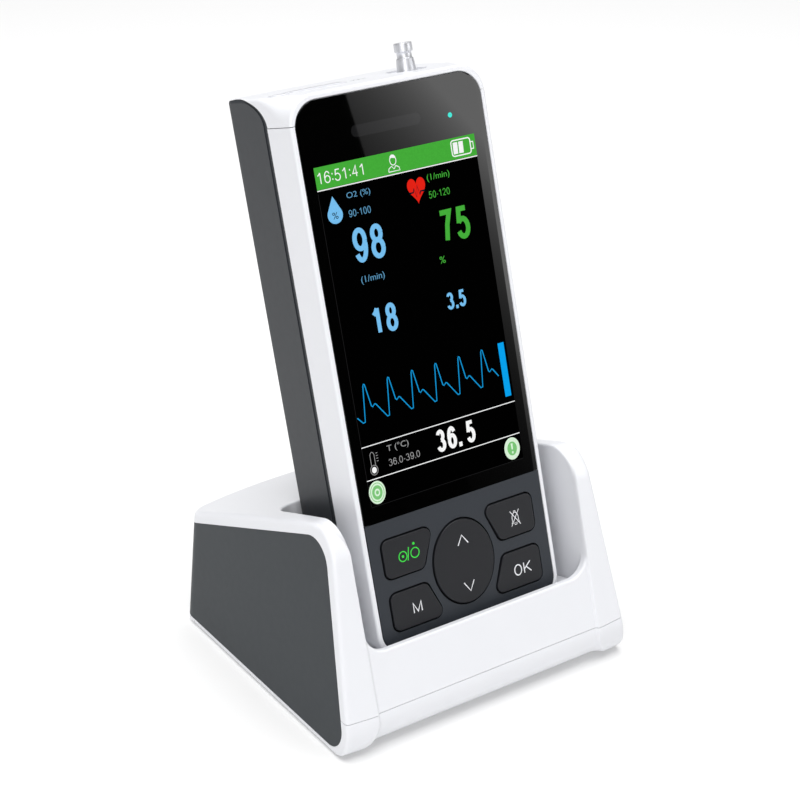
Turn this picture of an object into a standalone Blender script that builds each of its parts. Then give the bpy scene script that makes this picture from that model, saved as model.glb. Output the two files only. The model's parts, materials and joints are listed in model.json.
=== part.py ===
"""A hand-held patient monitor standing in its charging dock, as separate sub-parts.

Units are metres, +Z is up, and the side that faces the user is -Y. The origin is on the floor
under the middle of the dock. The monitor's own parts are placed in a tilted frame: X across the
screen, Y into the monitor from the face of the glass, Z along the screen from its lower end.
"""
import math

import bmesh
import bpy
from mathutils import Matrix, Vector

MM = 0.001
GAP = 0.3 * MM
HALF_GAP = GAP / 2
FAR = 200 * MM
ARC_STEPS = 4
ROUND_STEPS = 16

# Dock, in the row's own frame
TILT = math.radians(16.5)
DOCK_HALF_WIDTH = 53.2 * MM
SIDE_LEAN = 0.102
DOCK_BACK = 49.75 * MM
DOCK_FRONT = -51.1 * MM
FOOT_STAND = 0.6 * MM
SEAM_HEIGHT = 13.1 * MM
TOP_AT_BACK = 40.7 * MM
TOP_SLOPE = 0.365
FRONT_BEND = 11.5 * MM
BASE_BEND = 8.5 * MM
BACK_BEND = 3.0 * MM
CHEEK_INNER = 41.0 * MM
CHEEK_SWEEP = 1.7 * MM
FRONT_RECESS = 0.65 * MM
DOCK_WALL = 1.8 * MM
FLOOR_WALL = 1.4 * MM
EDGE_DROOP = 1.0 * MM
BACK_DROOP = 2.7 * MM
PANEL_FRONT_INSET = 2.5 * MM
PANEL_TOP_INSET = 3.2 * MM
PANEL_TOP_SLOPE = 0.40
PANEL_BOTTOM = 2.4 * MM
PANEL_TOP_BEND = 8.5 * MM
PANEL_BASE_BEND = 5.5 * MM

# Well of the dock and the monitor, in the monitor's tilted frame
MONITOR_FOOT = (0.0, -39.4 * MM, 22.9 * MM)
WELL_FRONT = -2.6 * MM
WELL_BACK = 37.6 * MM
WELL_BEND = 7.0 * MM
LIP_TOP = 6.0 * MM
SEAT_TOP = 2.6 * MM
SEAT_BOTTOM = -5.0 * MM

MONITOR_HALF_WIDTH = 33.5 * MM
MONITOR_LENGTH = 166.8 * MM
MONITOR_DEPTH = 34.6 * MM
CASE_WALL = 1.8 * MM
CAP_WALL = 1.6 * MM
FRONT_CORNER = 8.7 * MM
BACK_CORNER = 3.0 * MM
LOW_CORNER = 7.0 * MM
CORNER_CHANGE_DEPTH = 17.0 * MM
PARTING = 13.4 * MM
CAP_SEAM = 158.6 * MM
CURVE_CENTRE = (30.0 * MM, 158.5 * MM)
CURVE_REACH = (16.8 * MM, 8.9 * MM)
CAP_BACK = 30.05 * MM
GLASS_HALF_WIDTH = 31.9 * MM
GLASS_THICKNESS = 1.2 * MM
GLASS_LOW = 41.6 * MM
GLASS_TOP = 164.8 * MM
LEDGE_FRONT = 1.5 * MM
LEDGE_BACK = 2.9 * MM

# Keypad
KEY_FACE = -0.4 * MM
KEY_BACK = 3.6 * MM
KEY_OUTER = 27.5 * MM
KEY_NEAR = 9.2 * MM
KEY_FAR = 14.2 * MM
UPPER_KEYS = (24.0 * MM, 35.8 * MM)
LOWER_KEYS = (7.8 * MM, 19.3 * MM)
KEY_BEND = 2.2 * MM
ROCKER_CENTRE = 21.8 * MM
ROCKER_REACH = (10.8 * MM, 13.0 * MM)
ROCKER_PIVOT = 3.3 * MM
KEY_CLEARANCE = 0.35 * MM

# Fittings on the upper end of the monitor
NIPPLE_PLACE = (17.6 * MM, 15.9 * MM)
SOCKET_PLACE = (-14.5 * MM, 15.9 * MM)
SOCKET_SLOT = (17.6 * MM, 4.0 * MM)
JACK_PLACE = (-28.2 * MM, 13.0 * MM)
LIGHT_PLACE = (19.8 * MM, 153.0 * MM)

# Repeated fittings
CASE_SCREWS = ((-28.0, 12.0), (28.0, 12.0), (-28.0, 149.0), (28.0, 149.0))
PIN_SPACING = 8.0 * MM
PIN_DEPTH = 21.5 * MM
PIN_TRAVEL = 0.8 * MM
DOCK_SCREWS = ((-44.8, -25.0), (44.8, -25.0), (-36.0, 28.0), (36.0, 28.0))
FEET = ((-38.0, -34.0), (38.0, -34.0), (-41.0, 39.5), (41.0, 39.5))

# Colour, roughness and metallic value of each material
FINISHES = {
    "white_plastic": ((0.86, 0.87, 0.89), 0.32, 0.0),
    "dark_plastic": ((0.085, 0.092, 0.098), 0.42, 0.0),
    "keypad_plastic": ((0.055, 0.062, 0.070), 0.40, 0.0),
    "key_rubber": ((0.035, 0.036, 0.040), 0.45, 0.0),
    "black_glass": ((0.005, 0.005, 0.006), 0.05, 0.0),
    "screen": ((0.01, 0.01, 0.012), 0.20, 0.0),
    "bare_steel": ((0.62, 0.62, 0.63), 0.30, 1.0),
    "plated_steel": ((0.75, 0.75, 0.77), 0.18, 1.0),
    "gold_plate": ((0.80, 0.62, 0.25), 0.25, 1.0),
    "circuit_board": ((0.02, 0.16, 0.07), 0.50, 0.0),
    "black_plastic": ((0.02, 0.02, 0.022), 0.50, 0.0),
    "clear_plastic": ((0.35, 0.85, 0.75), 0.15, 0.0),
    "battery_wrap": ((0.12, 0.22, 0.45), 0.40, 0.0),
    "rubber": ((0.03, 0.03, 0.03), 0.80, 0.0),
}


def clear_scene():
    """Removes whatever objects the file holds."""
    for thing in list(bpy.data.objects):
        bpy.data.objects.remove(thing)


def new_collection(name):
    """An empty collection in the scene."""
    collection = bpy.data.collections.new(name)
    bpy.context.scene.collection.children.link(collection)
    return collection


def new_material(name, colour, roughness, metallic):
    """One Principled material."""
    material = bpy.data.materials.new(name)
    material.use_nodes = True
    shader = material.node_tree.nodes["Principled BSDF"]
    shader.inputs["Base Color"].default_value = (*colour, 1.0)
    shader.inputs["Roughness"].default_value = roughness
    shader.inputs["Metallic"].default_value = metallic
    return material


def new_frame(name, place, turn):
    """An empty that the parts of one body are placed in."""
    frame = bpy.data.objects.new(name, None)
    bpy.context.scene.collection.objects.link(frame)
    frame.location = place
    frame.rotation_euler = turn
    return frame


clear_scene()
PARTS = new_collection("patient_monitor")
CUTTERS = new_collection("cutters")
MATERIALS = {name: new_material(name, *finish) for name, finish in FINISHES.items()}
DOCK = new_frame("dock_frame", (0, 0, 0), (0, 0, 0))
MONITOR = new_frame("monitor_frame", MONITOR_FOOT, (-TILT, 0, 0))


# Shapes ------------------------------------------------------------------------------------


def add(name, mesh, frame, slot=None):
    """Puts a mesh in the scene: a sub-part if it has a material, or else a hidden cutter."""
    thing = bpy.data.objects.new(name, mesh)
    thing.parent = frame
    if slot:
        mesh.materials.append(MATERIALS[slot])
        PARTS.objects.link(thing)
    else:
        CUTTERS.objects.link(thing)
        thing.hide_render = True
        thing.display_type = "WIRE"
    return thing


def combine(thing, tool, operation):
    """Adds a Boolean modifier."""
    modifier = thing.modifiers.new(tool.name, "BOOLEAN")
    modifier.operation = operation
    modifier.object = tool
    modifier.solver = "EXACT"


def cut(thing, *tools):
    """Takes each tool away from a part."""
    for tool in tools:
        combine(thing, tool, "DIFFERENCE")


def set_origin(thing, place):
    """Moves the object's origin to a place in its frame, without moving its surface."""
    thing.data.transform(Matrix.Translation(-Vector(place)))
    thing.location = place


def mesh_of(shape, name):
    """Turns a bmesh into a mesh with its faces pointing out."""
    bmesh.ops.recalc_face_normals(shape, faces=shape.faces)
    mesh = bpy.data.meshes.new(name)
    shape.to_mesh(mesh)
    shape.free()
    return mesh


def box(name, low, high, frame, slot=None):
    """A block between two corners."""
    low, high = Vector(low), Vector(high)
    shape = bmesh.new()
    bmesh.ops.create_cube(shape, size=1.0)
    bmesh.ops.scale(shape, vec=high - low, verts=shape.verts)
    bmesh.ops.translate(shape, vec=(low + high) / 2, verts=shape.verts)
    return add(name, mesh_of(shape, name), frame, slot)


AXIS_TURN = {
    "X": Matrix(((0, 0, 1, 0), (1, 0, 0, 0), (0, 1, 0, 0), (0, 0, 0, 1))),
    "Y": Matrix.Rotation(math.radians(90), 4, "X"),
    "Z": Matrix.Identity(4),
}
AXIS_VECTOR = {"X": Vector((1, 0, 0)), "Y": Vector((0, 1, 0)), "Z": Vector((0, 0, 1))}


def rod(name, centre, radius, low, high, axis, frame, slot=None, sides=ROUND_STEPS):
    """A round bar from low to high along an axis, through a centre in the other two."""
    shape = bmesh.new()
    bmesh.ops.create_cone(
        shape, cap_ends=True, segments=sides, radius1=radius, radius2=radius, depth=high - low
    )
    middle = AXIS_VECTOR[axis] * (low + high) / 2
    across = {
        "X": Vector((0, centre[0], centre[1])),
        "Y": Vector((centre[0], 0, centre[1])),
        "Z": Vector((centre[0], centre[1], 0)),
    }[axis]
    bmesh.ops.transform(
        shape, matrix=Matrix.Translation(middle + across) @ AXIS_TURN[axis], verts=shape.verts
    )
    return add(name, mesh_of(shape, name), frame, slot)


def plate(name, outline, low, high, axis, frame, slot=None):
    """A flat outline given thickness from low to high along an axis."""
    curve = bpy.data.curves.new(name, "CURVE")
    curve.dimensions = "2D"
    curve.fill_mode = "BOTH"
    curve.extrude = (high - low) / 2
    spline = curve.splines.new("POLY")
    spline.points.add(len(outline) - 1)
    for point, (a, b) in zip(spline.points, outline):
        point.co = (a, b, 0, 1)
    spline.use_cyclic_u = True
    drawing = bpy.data.objects.new(name + "_outline", curve)
    drawing.matrix_world = Matrix.Translation(AXIS_VECTOR[axis] * (low + high) / 2) @ AXIS_TURN[axis]
    CUTTERS.objects.link(drawing)
    graph = bpy.context.evaluated_depsgraph_get()
    shape = bmesh.new()
    shape.from_mesh(bpy.data.meshes.new_from_object(drawing.evaluated_get(graph)))
    shape.transform(drawing.matrix_world)
    bmesh.ops.remove_doubles(shape, verts=shape.verts, dist=1e-6)
    bpy.data.objects.remove(drawing)
    return add(name, mesh_of(shape, name), frame, slot)


def turned(name, profile, place, frame, slot):
    """A turned piece: (radius, height) points from its upper end down, spun about Z."""
    mesh = bpy.data.meshes.new(name)
    points = [(radius, 0, height) for radius, height in profile]
    edges = [(index, index + 1) for index in range(len(points) - 1)]
    mesh.from_pydata(points, edges, [])
    thing = add(name, mesh, frame, slot)
    thing.location = (*place, 0)
    spin = thing.modifiers.new("spin", "SCREW")
    spin.steps = ROUND_STEPS
    spin.render_steps = ROUND_STEPS
    spin.use_merge_vertices = True
    spin.merge_threshold = 0.00001
    return thing


def loft(name, rings, frame, slot=None):
    """A closed skin over unlike rings of matching points, with a flat cap on each end."""
    shape = bmesh.new()
    rows = [[shape.verts.new(point) for point in ring] for ring in rings]
    count = len(rows[0])
    for row, following in zip(rows, rows[1:]):
        for index in range(count):
            after = (index + 1) % count
            shape.faces.new((row[index], row[after], following[after], following[index]))
    shape.faces.new(rows[0])
    shape.faces.new(rows[-1])
    return add(name, mesh_of(shape, name), frame, slot)


def rounded(corners, steps=ARC_STEPS):
    """A closed outline through corners (a, b, radius), each turned into an arc."""
    points = []
    for index, (a, b, radius) in enumerate(corners):
        corner = Vector((a, b))
        following = corners[(index + 1) % len(corners)]
        before = (Vector(corners[index - 1][:2]) - corner).normalized()
        after = (Vector(following[:2]) - corner).normalized()
        half_angle = before.angle(after) / 2
        reach = radius / math.tan(half_angle)
        centre = corner + (before + after).normalized() * radius / math.sin(half_angle)
        first = corner + before * reach - centre
        last = corner + after * reach - centre
        sweep = first.angle(last)
        for step in range(steps + 1):
            share = step / steps
            spoke = first * math.sin((1 - share) * sweep) + last * math.sin(share * sweep)
            points.append(tuple(centre + spoke / math.sin(sweep)))
    return points


def rounded_box(left, right, low, high, low_bend, high_bend, steps=ARC_STEPS):
    """A rectangle with one bend at its lower corners and another at its upper ones."""
    return rounded(
        [
            (left, low, low_bend),
            (right, low, low_bend),
            (right, high, high_bend),
            (left, high, high_bend),
        ],
        steps,
    )


def ellipse(centre, reach, sides=28):
    """A closed ellipse."""
    turns = [2 * math.pi * index / sides for index in range(sides)]
    return [
        (centre[0] + reach[0] * math.cos(turn), centre[1] + reach[1] * math.sin(turn))
        for turn in turns
    ]


# Monitor case ------------------------------------------------------------------------------


def case_ring(depth, inset=0.0):
    """The outline of the case at one depth: its upper corners get tighter towards the back."""
    share = min(max(depth / CORNER_CHANGE_DEPTH, 0.0), 1.0)
    blend = share * share * (3 - 2 * share)
    corner = FRONT_CORNER + (BACK_CORNER - FRONT_CORNER) * blend
    half_width = MONITOR_HALF_WIDTH - inset
    outline = rounded_box(
        -half_width,
        half_width,
        inset,
        MONITOR_LENGTH - inset,
        LOW_CORNER - inset,
        max(corner - inset, 0.5 * MM),
    )
    return [(x, depth, z) for x, z in outline]


def case_body(name, stations, slot=None):
    """A length of the case's outer form, from (depth, inset) stations."""
    return loft(name, [case_ring(depth, inset) for depth, inset in stations], MONITOR, slot)


def curve_points(offset, steps=10):
    """The quarter ellipse that parts the dark cover from the white cap, in (depth, height)."""
    turns = [math.pi / 2 * index / steps for index in range(steps + 1)]
    reach = (CURVE_REACH[0] + offset, CURVE_REACH[1] + offset)
    return [
        (CURVE_CENTRE[0] - reach[0] * math.cos(turn), CURVE_CENTRE[1] + reach[1] * math.sin(turn))
        for turn in turns
    ]


def front_openings(name):
    """Cutters for the recess that the glass lies in and the window behind it."""
    recess = GLASS_HALF_WIDTH + GAP
    window = 30.0 * MM
    glass = rounded_box(-recess, recess, 1.6 * MM, GLASS_TOP + GAP, 6.5 * MM, 8.0 * MM)
    view = rounded_box(-window, window, 4.0 * MM, 163.4 * MM, 4.0 * MM, 7.0 * MM)
    return (
        plate(name + "_recess", glass, -MM, LEDGE_FRONT, "Y", MONITOR),
        plate(name + "_window", view, -MM, 20 * MM, "Y", MONITOR),
    )


def front_frame():
    """White frame round the glass and keypad, as deep as the parting line."""
    stations = [(0, 0.8), (0.8, 0), (4, 0), (8, 0), (13.4, 0)]
    stations = [(depth * MM, inset * MM) for depth, inset in stations]
    stations[-1] = (PARTING - HALF_GAP, 0)
    frame = case_body("front_frame", stations, "white_plastic")
    above = box(
        "above_seam", (-FAR, -FAR, CAP_SEAM - HALF_GAP), (FAR, FAR, CAP_SEAM + FAR), MONITOR
    )
    inner = MONITOR_HALF_WIDTH - CASE_WALL
    room = box("frame_room", (-inner, LEDGE_BACK, CASE_WALL), (inner, FAR, FAR), MONITOR)
    cut(frame, *front_openings("frame"), room, above)


def top_cap():
    """White cap that closes the upper end and runs back over the dark cover."""
    stations = [(0, 0.8), (0.8, 0), (4, 0), (8, 0), (12, 0), (17, 0), (30, 0)]
    stations = [(depth * MM, inset * MM) for depth, inset in stations]
    stations[-1] = (CAP_BACK - HALF_GAP, 0)
    cap = case_body("top_cap", stations, "white_plastic")
    below = box("below_seam", (-FAR, -FAR, -FAR), (FAR, FAR, CAP_SEAM + HALF_GAP), MONITOR)
    depths = (LEDGE_BACK, 4 * MM, 8 * MM, 12 * MM, 17 * MM, 60 * MM)
    room = case_body("cap_room", [(depth, CAP_WALL) for depth in depths])
    cut(cap, below, *front_openings("cap"), room)
    wall = MONITOR_HALF_WIDTH - CASE_WALL - GAP
    side = [(PARTING + HALF_GAP, 140 * MM)] + curve_points(HALF_GAP)
    side += [(50 * MM, side[-1][1]), (50 * MM, 140 * MM)]
    for name, low, high in (("cap_left_side", -FAR, -wall), ("cap_right_side", wall, FAR)):
        cut(cap, plate(name, side, low, high, "X", MONITOR))
    width, depth = SOCKET_SLOT
    slot = rounded_box(
        SOCKET_PLACE[0] - width / 2,
        SOCKET_PLACE[0] + width / 2,
        SOCKET_PLACE[1] - depth / 2,
        SOCKET_PLACE[1] + depth / 2,
        1.2 * MM,
        1.2 * MM,
    )
    cut(
        cap,
        plate("slot_hole", slot, 160 * MM, 170 * MM, "Z", MONITOR),
        rod("jack_hole", JACK_PLACE, 1.9 * MM, 160 * MM, 170 * MM, "Z", MONITOR),
        rod("nipple_hole", NIPPLE_PLACE, 2.3 * MM, 160 * MM, 170 * MM, "Z", MONITOR),
        rod(
            "nipple_dish",
            NIPPLE_PLACE,
            6.2 * MM,
            MONITOR_LENGTH - 0.5 * MM,
            170 * MM,
            "Z",
            MONITOR,
            sides=24,
        ),
    )


def rear_cover():
    """Dark tub that closes the back, with its upper front corner swept back."""
    stations = [
        (PARTING + HALF_GAP, 0),
        (CORNER_CHANGE_DEPTH, 0),
        (MONITOR_DEPTH - 2.2 * MM, 0),
        (MONITOR_DEPTH - 0.6 * MM, 0.6 * MM),
        (MONITOR_DEPTH, 2.2 * MM),
    ]
    cover = case_body("rear_cover", stations, "dark_plastic")
    inner = MONITOR_HALF_WIDTH - CASE_WALL
    back = MONITOR_DEPTH - CASE_WALL
    lid = MONITOR_LENGTH - CASE_WALL + 0.2 * MM
    room = [
        (0, CASE_WALL),
        (back, CASE_WALL),
        (back, lid),
        (CAP_BACK + HALF_GAP, lid),
        (CAP_BACK + HALF_GAP, FAR),
        (0, FAR),
    ]
    room_cutter = plate("cover_room", room, -inner, inner, "X", MONITOR)
    for index, (x, z) in enumerate(CASE_SCREWS, 1):
        boss = rod(f"boss_{index}", (x * MM, z * MM), 3.4 * MM, 17 * MM, 60 * MM, "Y", MONITOR)
        cut(room_cutter, boss)
    sweep = [(0, CURVE_CENTRE[1])] + curve_points(-HALF_GAP)
    sweep += [(CURVE_CENTRE[0], FAR), (0, FAR)]
    cut(cover, room_cutter, plate("cover_sweep", sweep, -FAR, FAR, "X", MONITOR))
    for index, (x, z) in enumerate(CASE_SCREWS, 1):
        place = (x * MM, z * MM)
        cut(
            cover,
            rod(f"screw_hole_{index}", place, 1.4 * MM, 10 * MM, 32 * MM, "Y", MONITOR),
            rod(f"screw_well_{index}", place, 2.5 * MM, 31.2 * MM, 40 * MM, "Y", MONITOR),
        )
    door = rounded_box(-25.3 * MM, 25.3 * MM, 50 * MM, 122 * MM, 3 * MM, 3 * MM)
    cut(cover, plate("door_opening", door, 30 * MM, 40 * MM, "Y", MONITOR))
    for index in range(3):
        x = (index - 1) * PIN_SPACING
        cut(
            cover,
            box(
                f"pad_hole_{index + 1}",
                (x - 2.8 * MM, PIN_DEPTH - 1.9 * MM, -MM),
                (x + 2.8 * MM, PIN_DEPTH + 1.9 * MM, 3 * MM),
                MONITOR,
            ),
        )


def case_seal():
    """Square rubber ring inside the joint between the two case halves."""
    outer = rounded_box(-31.3 * MM, 31.3 * MM, 2.2 * MM, 151.6 * MM, 5 * MM, 5 * MM)
    inner = rounded_box(-30.1 * MM, 30.1 * MM, 3.4 * MM, 150.4 * MM, 4 * MM, 4 * MM)
    seal = plate("case_seal", outer, 12.2 * MM, 14.2 * MM, "Y", MONITOR, "rubber")
    cut(seal, plate("seal_middle", inner, 10 * MM, 16 * MM, "Y", MONITOR))


def case_screws():
    """Four screws that hold the rear cover on."""
    for index, (x, z) in enumerate(CASE_SCREWS, 1):
        profile = [(0, 33.2), (2.2, 33.2), (2.2, 31.6), (1.1, 31.6), (1.1, 19.0), (0, 19.0)]
        screw = turned(
            f"case_screw_{index}",
            [(radius * MM, height * MM) for radius, height in profile],
            (0, 0),
            MONITOR,
            "bare_steel",
        )
        screw.location = (x * MM, 0, z * MM)
        screw.rotation_euler = (math.radians(-90), 0, 0)


def battery_door():
    """Cover of the battery bay, flush with the back, and the screw that holds it."""
    outline = rounded_box(-25 * MM, 25 * MM, 50.3 * MM, 121.7 * MM, 2.7 * MM, 2.7 * MM)
    door = plate("battery_door", outline, 33.1 * MM, 34.5 * MM, "Y", MONITOR, "dark_plastic")
    place = (0, 117.5 * MM)
    cut(door, rod("door_screw_hole", place, 2.4 * MM, 30 * MM, 40 * MM, "Y", MONITOR))
    profile = [(0, 34.2), (2.1, 34.2), (2.1, 32.9), (1.1, 32.9), (1.1, 28.0), (0, 28.0)]
    screw = turned(
        "door_screw",
        [(radius * MM, height * MM) for radius, height in profile],
        (0, 0),
        MONITOR,
        "bare_steel",
    )
    screw.location = (0, 0, place[1])
    screw.rotation_euler = (math.radians(-90), 0, 0)


# Screen, keypad and electronics ------------------------------------------------------------


def display_stack():
    """Glass, screen module and the bracket behind it."""
    glass = rounded(
        [
            (-GLASS_HALF_WIDTH, GLASS_LOW, 0.4 * MM),
            (GLASS_HALF_WIDTH, GLASS_LOW, 0.4 * MM),
            (GLASS_HALF_WIDTH, GLASS_TOP, 7.7 * MM),
            (-GLASS_HALF_WIDTH, GLASS_TOP, 7.7 * MM),
        ]
    )
    plate("display_glass", glass, 0.1 * MM, GLASS_THICKNESS, "Y", MONITOR, "black_glass")
    box(
        "lcd_module",
        (-29.4 * MM, 1.6 * MM, 44.6 * MM),
        (29.4 * MM, 4.0 * MM, 147 * MM),
        MONITOR,
        "screen",
    )
    bracket = box(
        "lcd_bracket",
        (-31.2 * MM, 4.3 * MM, 42.5 * MM),
        (31.2 * MM, 5.1 * MM, 148.5 * MM),
        MONITOR,
        "bare_steel",
    )
    for index, low in enumerate((50 * MM, 99 * MM), 1):
        window = rounded_box(-24 * MM, 24 * MM, low, low + 42 * MM, 3 * MM, 3 * MM, 2)
        cut(bracket, plate(f"bracket_window_{index}", window, 0, 10 * MM, "Y", MONITOR))


def key_outline(side, row, grow=0.0):
    """A key's outline: side -1 or 1, and its inner edge slants away from the rocker."""
    low, high = UPPER_KEYS if row == "upper" else LOWER_KEYS
    low_edge, high_edge = (KEY_FAR, KEY_NEAR) if row == "upper" else (KEY_NEAR, KEY_FAR)
    bend = KEY_BEND + grow
    return rounded(
        [
            (side * (KEY_OUTER + grow), low - grow, bend),
            (side * (low_edge - grow), low - grow, bend),
            (side * (high_edge - grow), high + grow, bend),
            (side * (KEY_OUTER + grow), high + grow, bend),
        ],
        3,
    )


KEYS = (
    ("power_key", -1, "upper"),
    ("mute_key", 1, "upper"),
    ("menu_key", -1, "lower"),
    ("ok_key", 1, "lower"),
)


def keypad():
    """Panel with a hole for each key, the keys, the rocker and what lies behind them."""
    outline = rounded(
        [
            (-GLASS_HALF_WIDTH, 1.9 * MM, 6.2 * MM),
            (GLASS_HALF_WIDTH, 1.9 * MM, 6.2 * MM),
            (GLASS_HALF_WIDTH, GLASS_LOW - GAP, 0.4 * MM),
            (-GLASS_HALF_WIDTH, GLASS_LOW - GAP, 0.4 * MM),
        ]
    )
    panel = plate(
        "keypad_panel", outline, 0.1 * MM, GLASS_THICKNESS, "Y", MONITOR, "keypad_plastic"
    )
    for name, side, row in KEYS:
        hole = plate(
            name + "_hole", key_outline(side, row, KEY_CLEARANCE), -MM, 3 * MM, "Y", MONITOR
        )
        cut(panel, hole)
        key = plate(name, key_outline(side, row), KEY_FACE, KEY_BACK, "Y", MONITOR, "key_rubber")
        row_low, row_high = UPPER_KEYS if row == "upper" else LOWER_KEYS
        middle = (side * (KEY_OUTER + KEY_FAR) / 2, KEY_BACK, (row_low + row_high) / 2)
        set_origin(key, middle)
    reach = [half + KEY_CLEARANCE for half in ROCKER_REACH]
    hole = plate(
        "rocker_hole", ellipse((0, ROCKER_CENTRE), reach), -MM, 3 * MM, "Y", MONITOR
    )
    cut(panel, hole)
    rocker = plate(
        "nav_rocker",
        ellipse((0, ROCKER_CENTRE), ROCKER_REACH),
        KEY_FACE,
        3.0 * MM,
        "Y",
        MONITOR,
        "key_rubber",
    )
    set_origin(rocker, (0, ROCKER_PIVOT, ROCKER_CENTRE))
    rod(
        "rocker_pivot",
        (3.75 * MM, ROCKER_CENTRE),
        0.4 * MM,
        -5 * MM,
        5 * MM,
        "X",
        MONITOR,
        "bare_steel",
        sides=8,
    )
    mat = rounded_box(-29.5 * MM, 29.5 * MM, 4.5 * MM, 40.5 * MM, 4 * MM, MM)
    plate("key_mat", mat, 4.5 * MM, 5.5 * MM, "Y", MONITOR, "rubber")
    plate("key_board", mat, 5.8 * MM, 6.8 * MM, "Y", MONITOR, "circuit_board")


def electronics():
    """Boards, shield, speaker, light guide and battery."""
    board = rounded_box(-30 * MM, 30 * MM, 6 * MM, 150 * MM, 3 * MM, 3 * MM, 2)
    plate("main_board", board, 9.5 * MM, 11.1 * MM, "Y", MONITOR, "circuit_board")
    shield = rounded_box(-13 * MM, 13 * MM, 88 * MM, 120 * MM, MM, MM, 2)
    plate("processor_shield", shield, 6.5 * MM, 9.2 * MM, "Y", MONITOR, "bare_steel")
    module = rounded_box(-22 * MM, 22 * MM, 118 * MM, 144 * MM, MM, MM, 2)
    plate("measuring_module", module, 11.4 * MM, 15.2 * MM, "Y", MONITOR, "black_plastic")
    speaker = rounded_box(-12.3 * MM, 7.7 * MM, 149.5 * MM, 158.5 * MM, 4.2 * MM, 4.2 * MM, 3)
    plate("speaker", speaker, 3.2 * MM, 7.2 * MM, "Y", MONITOR, "black_plastic")
    rod(
        "light_guide",
        LIGHT_PLACE,
        1.1 * MM,
        1.5 * MM,
        9.2 * MM,
        "Y",
        MONITOR,
        "clear_plastic",
        sides=12,
    )
    battery = rounded_box(-24 * MM, 24 * MM, 53 * MM, 112 * MM, 2 * MM, 2 * MM, 2)
    plate("battery_pack", battery, 20.8 * MM, 32.4 * MM, "Y", MONITOR, "battery_wrap")


def charge_pads():
    """Three plated pads in the lower end of the rear cover."""
    for index in range(3):
        x = (index - 1) * PIN_SPACING
        box(
            f"charge_pad_{index + 1}",
            (x - 2.5 * MM, PIN_DEPTH - 1.6 * MM, 0.1 * MM),
            (x + 2.5 * MM, PIN_DEPTH + 1.6 * MM, 1.6 * MM),
            MONITOR,
            "gold_plate",
        )


def end_fittings():
    """Probe socket, round jack, hose nipple and its nut on the upper end."""
    x, y = SOCKET_PLACE
    socket = box(
        "probe_socket",
        (x - 9.5 * MM, y - 3.5 * MM, 152 * MM),
        (x + 9.5 * MM, y + 3.5 * MM, 164.8 * MM),
        MONITOR,
        "black_plastic",
    )
    hollow = box(
        "socket_hollow",
        (x - 8.1 * MM, y - 1.6 * MM, 156 * MM),
        (x + 8.1 * MM, y + 1.6 * MM, 170 * MM),
        MONITOR,
    )
    cut(socket, hollow)
    jack = rod(
        "temperature_jack", JACK_PLACE, 2.5 * MM, 153 * MM, 164.6 * MM, "Z", MONITOR, "black_plastic"
    )
    cut(jack, rod("jack_bore", JACK_PLACE, 1.5 * MM, 156 * MM, 170 * MM, "Z", MONITOR))
    profile = [
        (0, 170.5),
        (1.2, 170.5),
        (1.2, 175.1),
        (1.5, 175.4),
        (2.3, 175.4),
        (2.75, 174.9),
        (2.75, 172.7),
        (2.3, 172.2),
        (2.1, 172.0),
        (2.1, 170.3),
        (2.6, 169.9),
        (2.9, 166.7),
        (2.0, 166.6),
        (2.0, 158.0),
        (0, 158.0),
    ]
    points = [(radius * MM, height * MM) for radius, height in profile]
    turned("hose_nipple", points, NIPPLE_PLACE, MONITOR, "plated_steel")
    nut = rod(
        "nipple_nut", NIPPLE_PLACE, 4 * MM, 161.5 * MM, 164.8 * MM, "Z", MONITOR, "bare_steel", 6
    )
    cut(nut, rod("nut_bore", NIPPLE_PLACE, 2.3 * MM, 150 * MM, 170 * MM, "Z", MONITOR))


# Dock --------------------------------------------------------------------------------------


def side_reach(height):
    """How far the dock's side face is from the middle at a height: the sides lean in."""
    return DOCK_HALF_WIDTH - SIDE_LEAN * height


def dock_outline(forward, inset, back_inset, floor):
    """The dock from the side, as (y, z) points, with its front line moved forward."""
    lean = math.tan(TILT)
    rise = math.sqrt(1 + TOP_SLOPE**2)
    front = DOCK_FRONT - forward + inset / math.cos(TILT)
    back = DOCK_BACK - back_inset - inset
    top_at_back = TOP_AT_BACK - inset * rise + TOP_SLOPE * (DOCK_BACK - back)
    peak = (top_at_back + TOP_SLOPE * (back - front)) / (1 + TOP_SLOPE * lean)
    return rounded(
        [
            (front + lean * floor, floor, BASE_BEND - inset),
            (back, floor, max(BACK_BEND - inset, 0.5 * MM)),
            (back, top_at_back, max(BACK_BEND - inset, 0.5 * MM)),
            (front + lean * peak, peak, FRONT_BEND - inset),
        ],
        6,
    )


def droop(share, y):
    """How far the top surface falls away towards the sides: more at the back."""
    along = min(max((y + 19.7 * MM) / (63 * MM), 0.0), 1.3)
    return (EDGE_DROOP + BACK_DROOP * along * along) * share**3


def dock_ring(fixed, share, forward, inset, back_inset, shrink, floor):
    """One ring of the dock's outer form: at a fixed x, or a share of the way to the side."""
    ring = []
    for y, z in dock_outline(forward, inset, back_inset, floor):
        across = abs(fixed) if share is None else CHEEK_INNER + share * (side_reach(z) - CHEEK_INNER)
        lift = max((z - SEAM_HEIGHT) / (TOP_AT_BACK - SEAM_HEIGHT), 0.0)
        lowered = z - droop(across / DOCK_HALF_WIDTH, y) * min(lift, 1.0)
        if share is not None:
            reach = side_reach(lowered) - shrink
            across = CHEEK_INNER + share * (reach - CHEEK_INNER)
        ring.append((across, y, lowered))
    return ring


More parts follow.
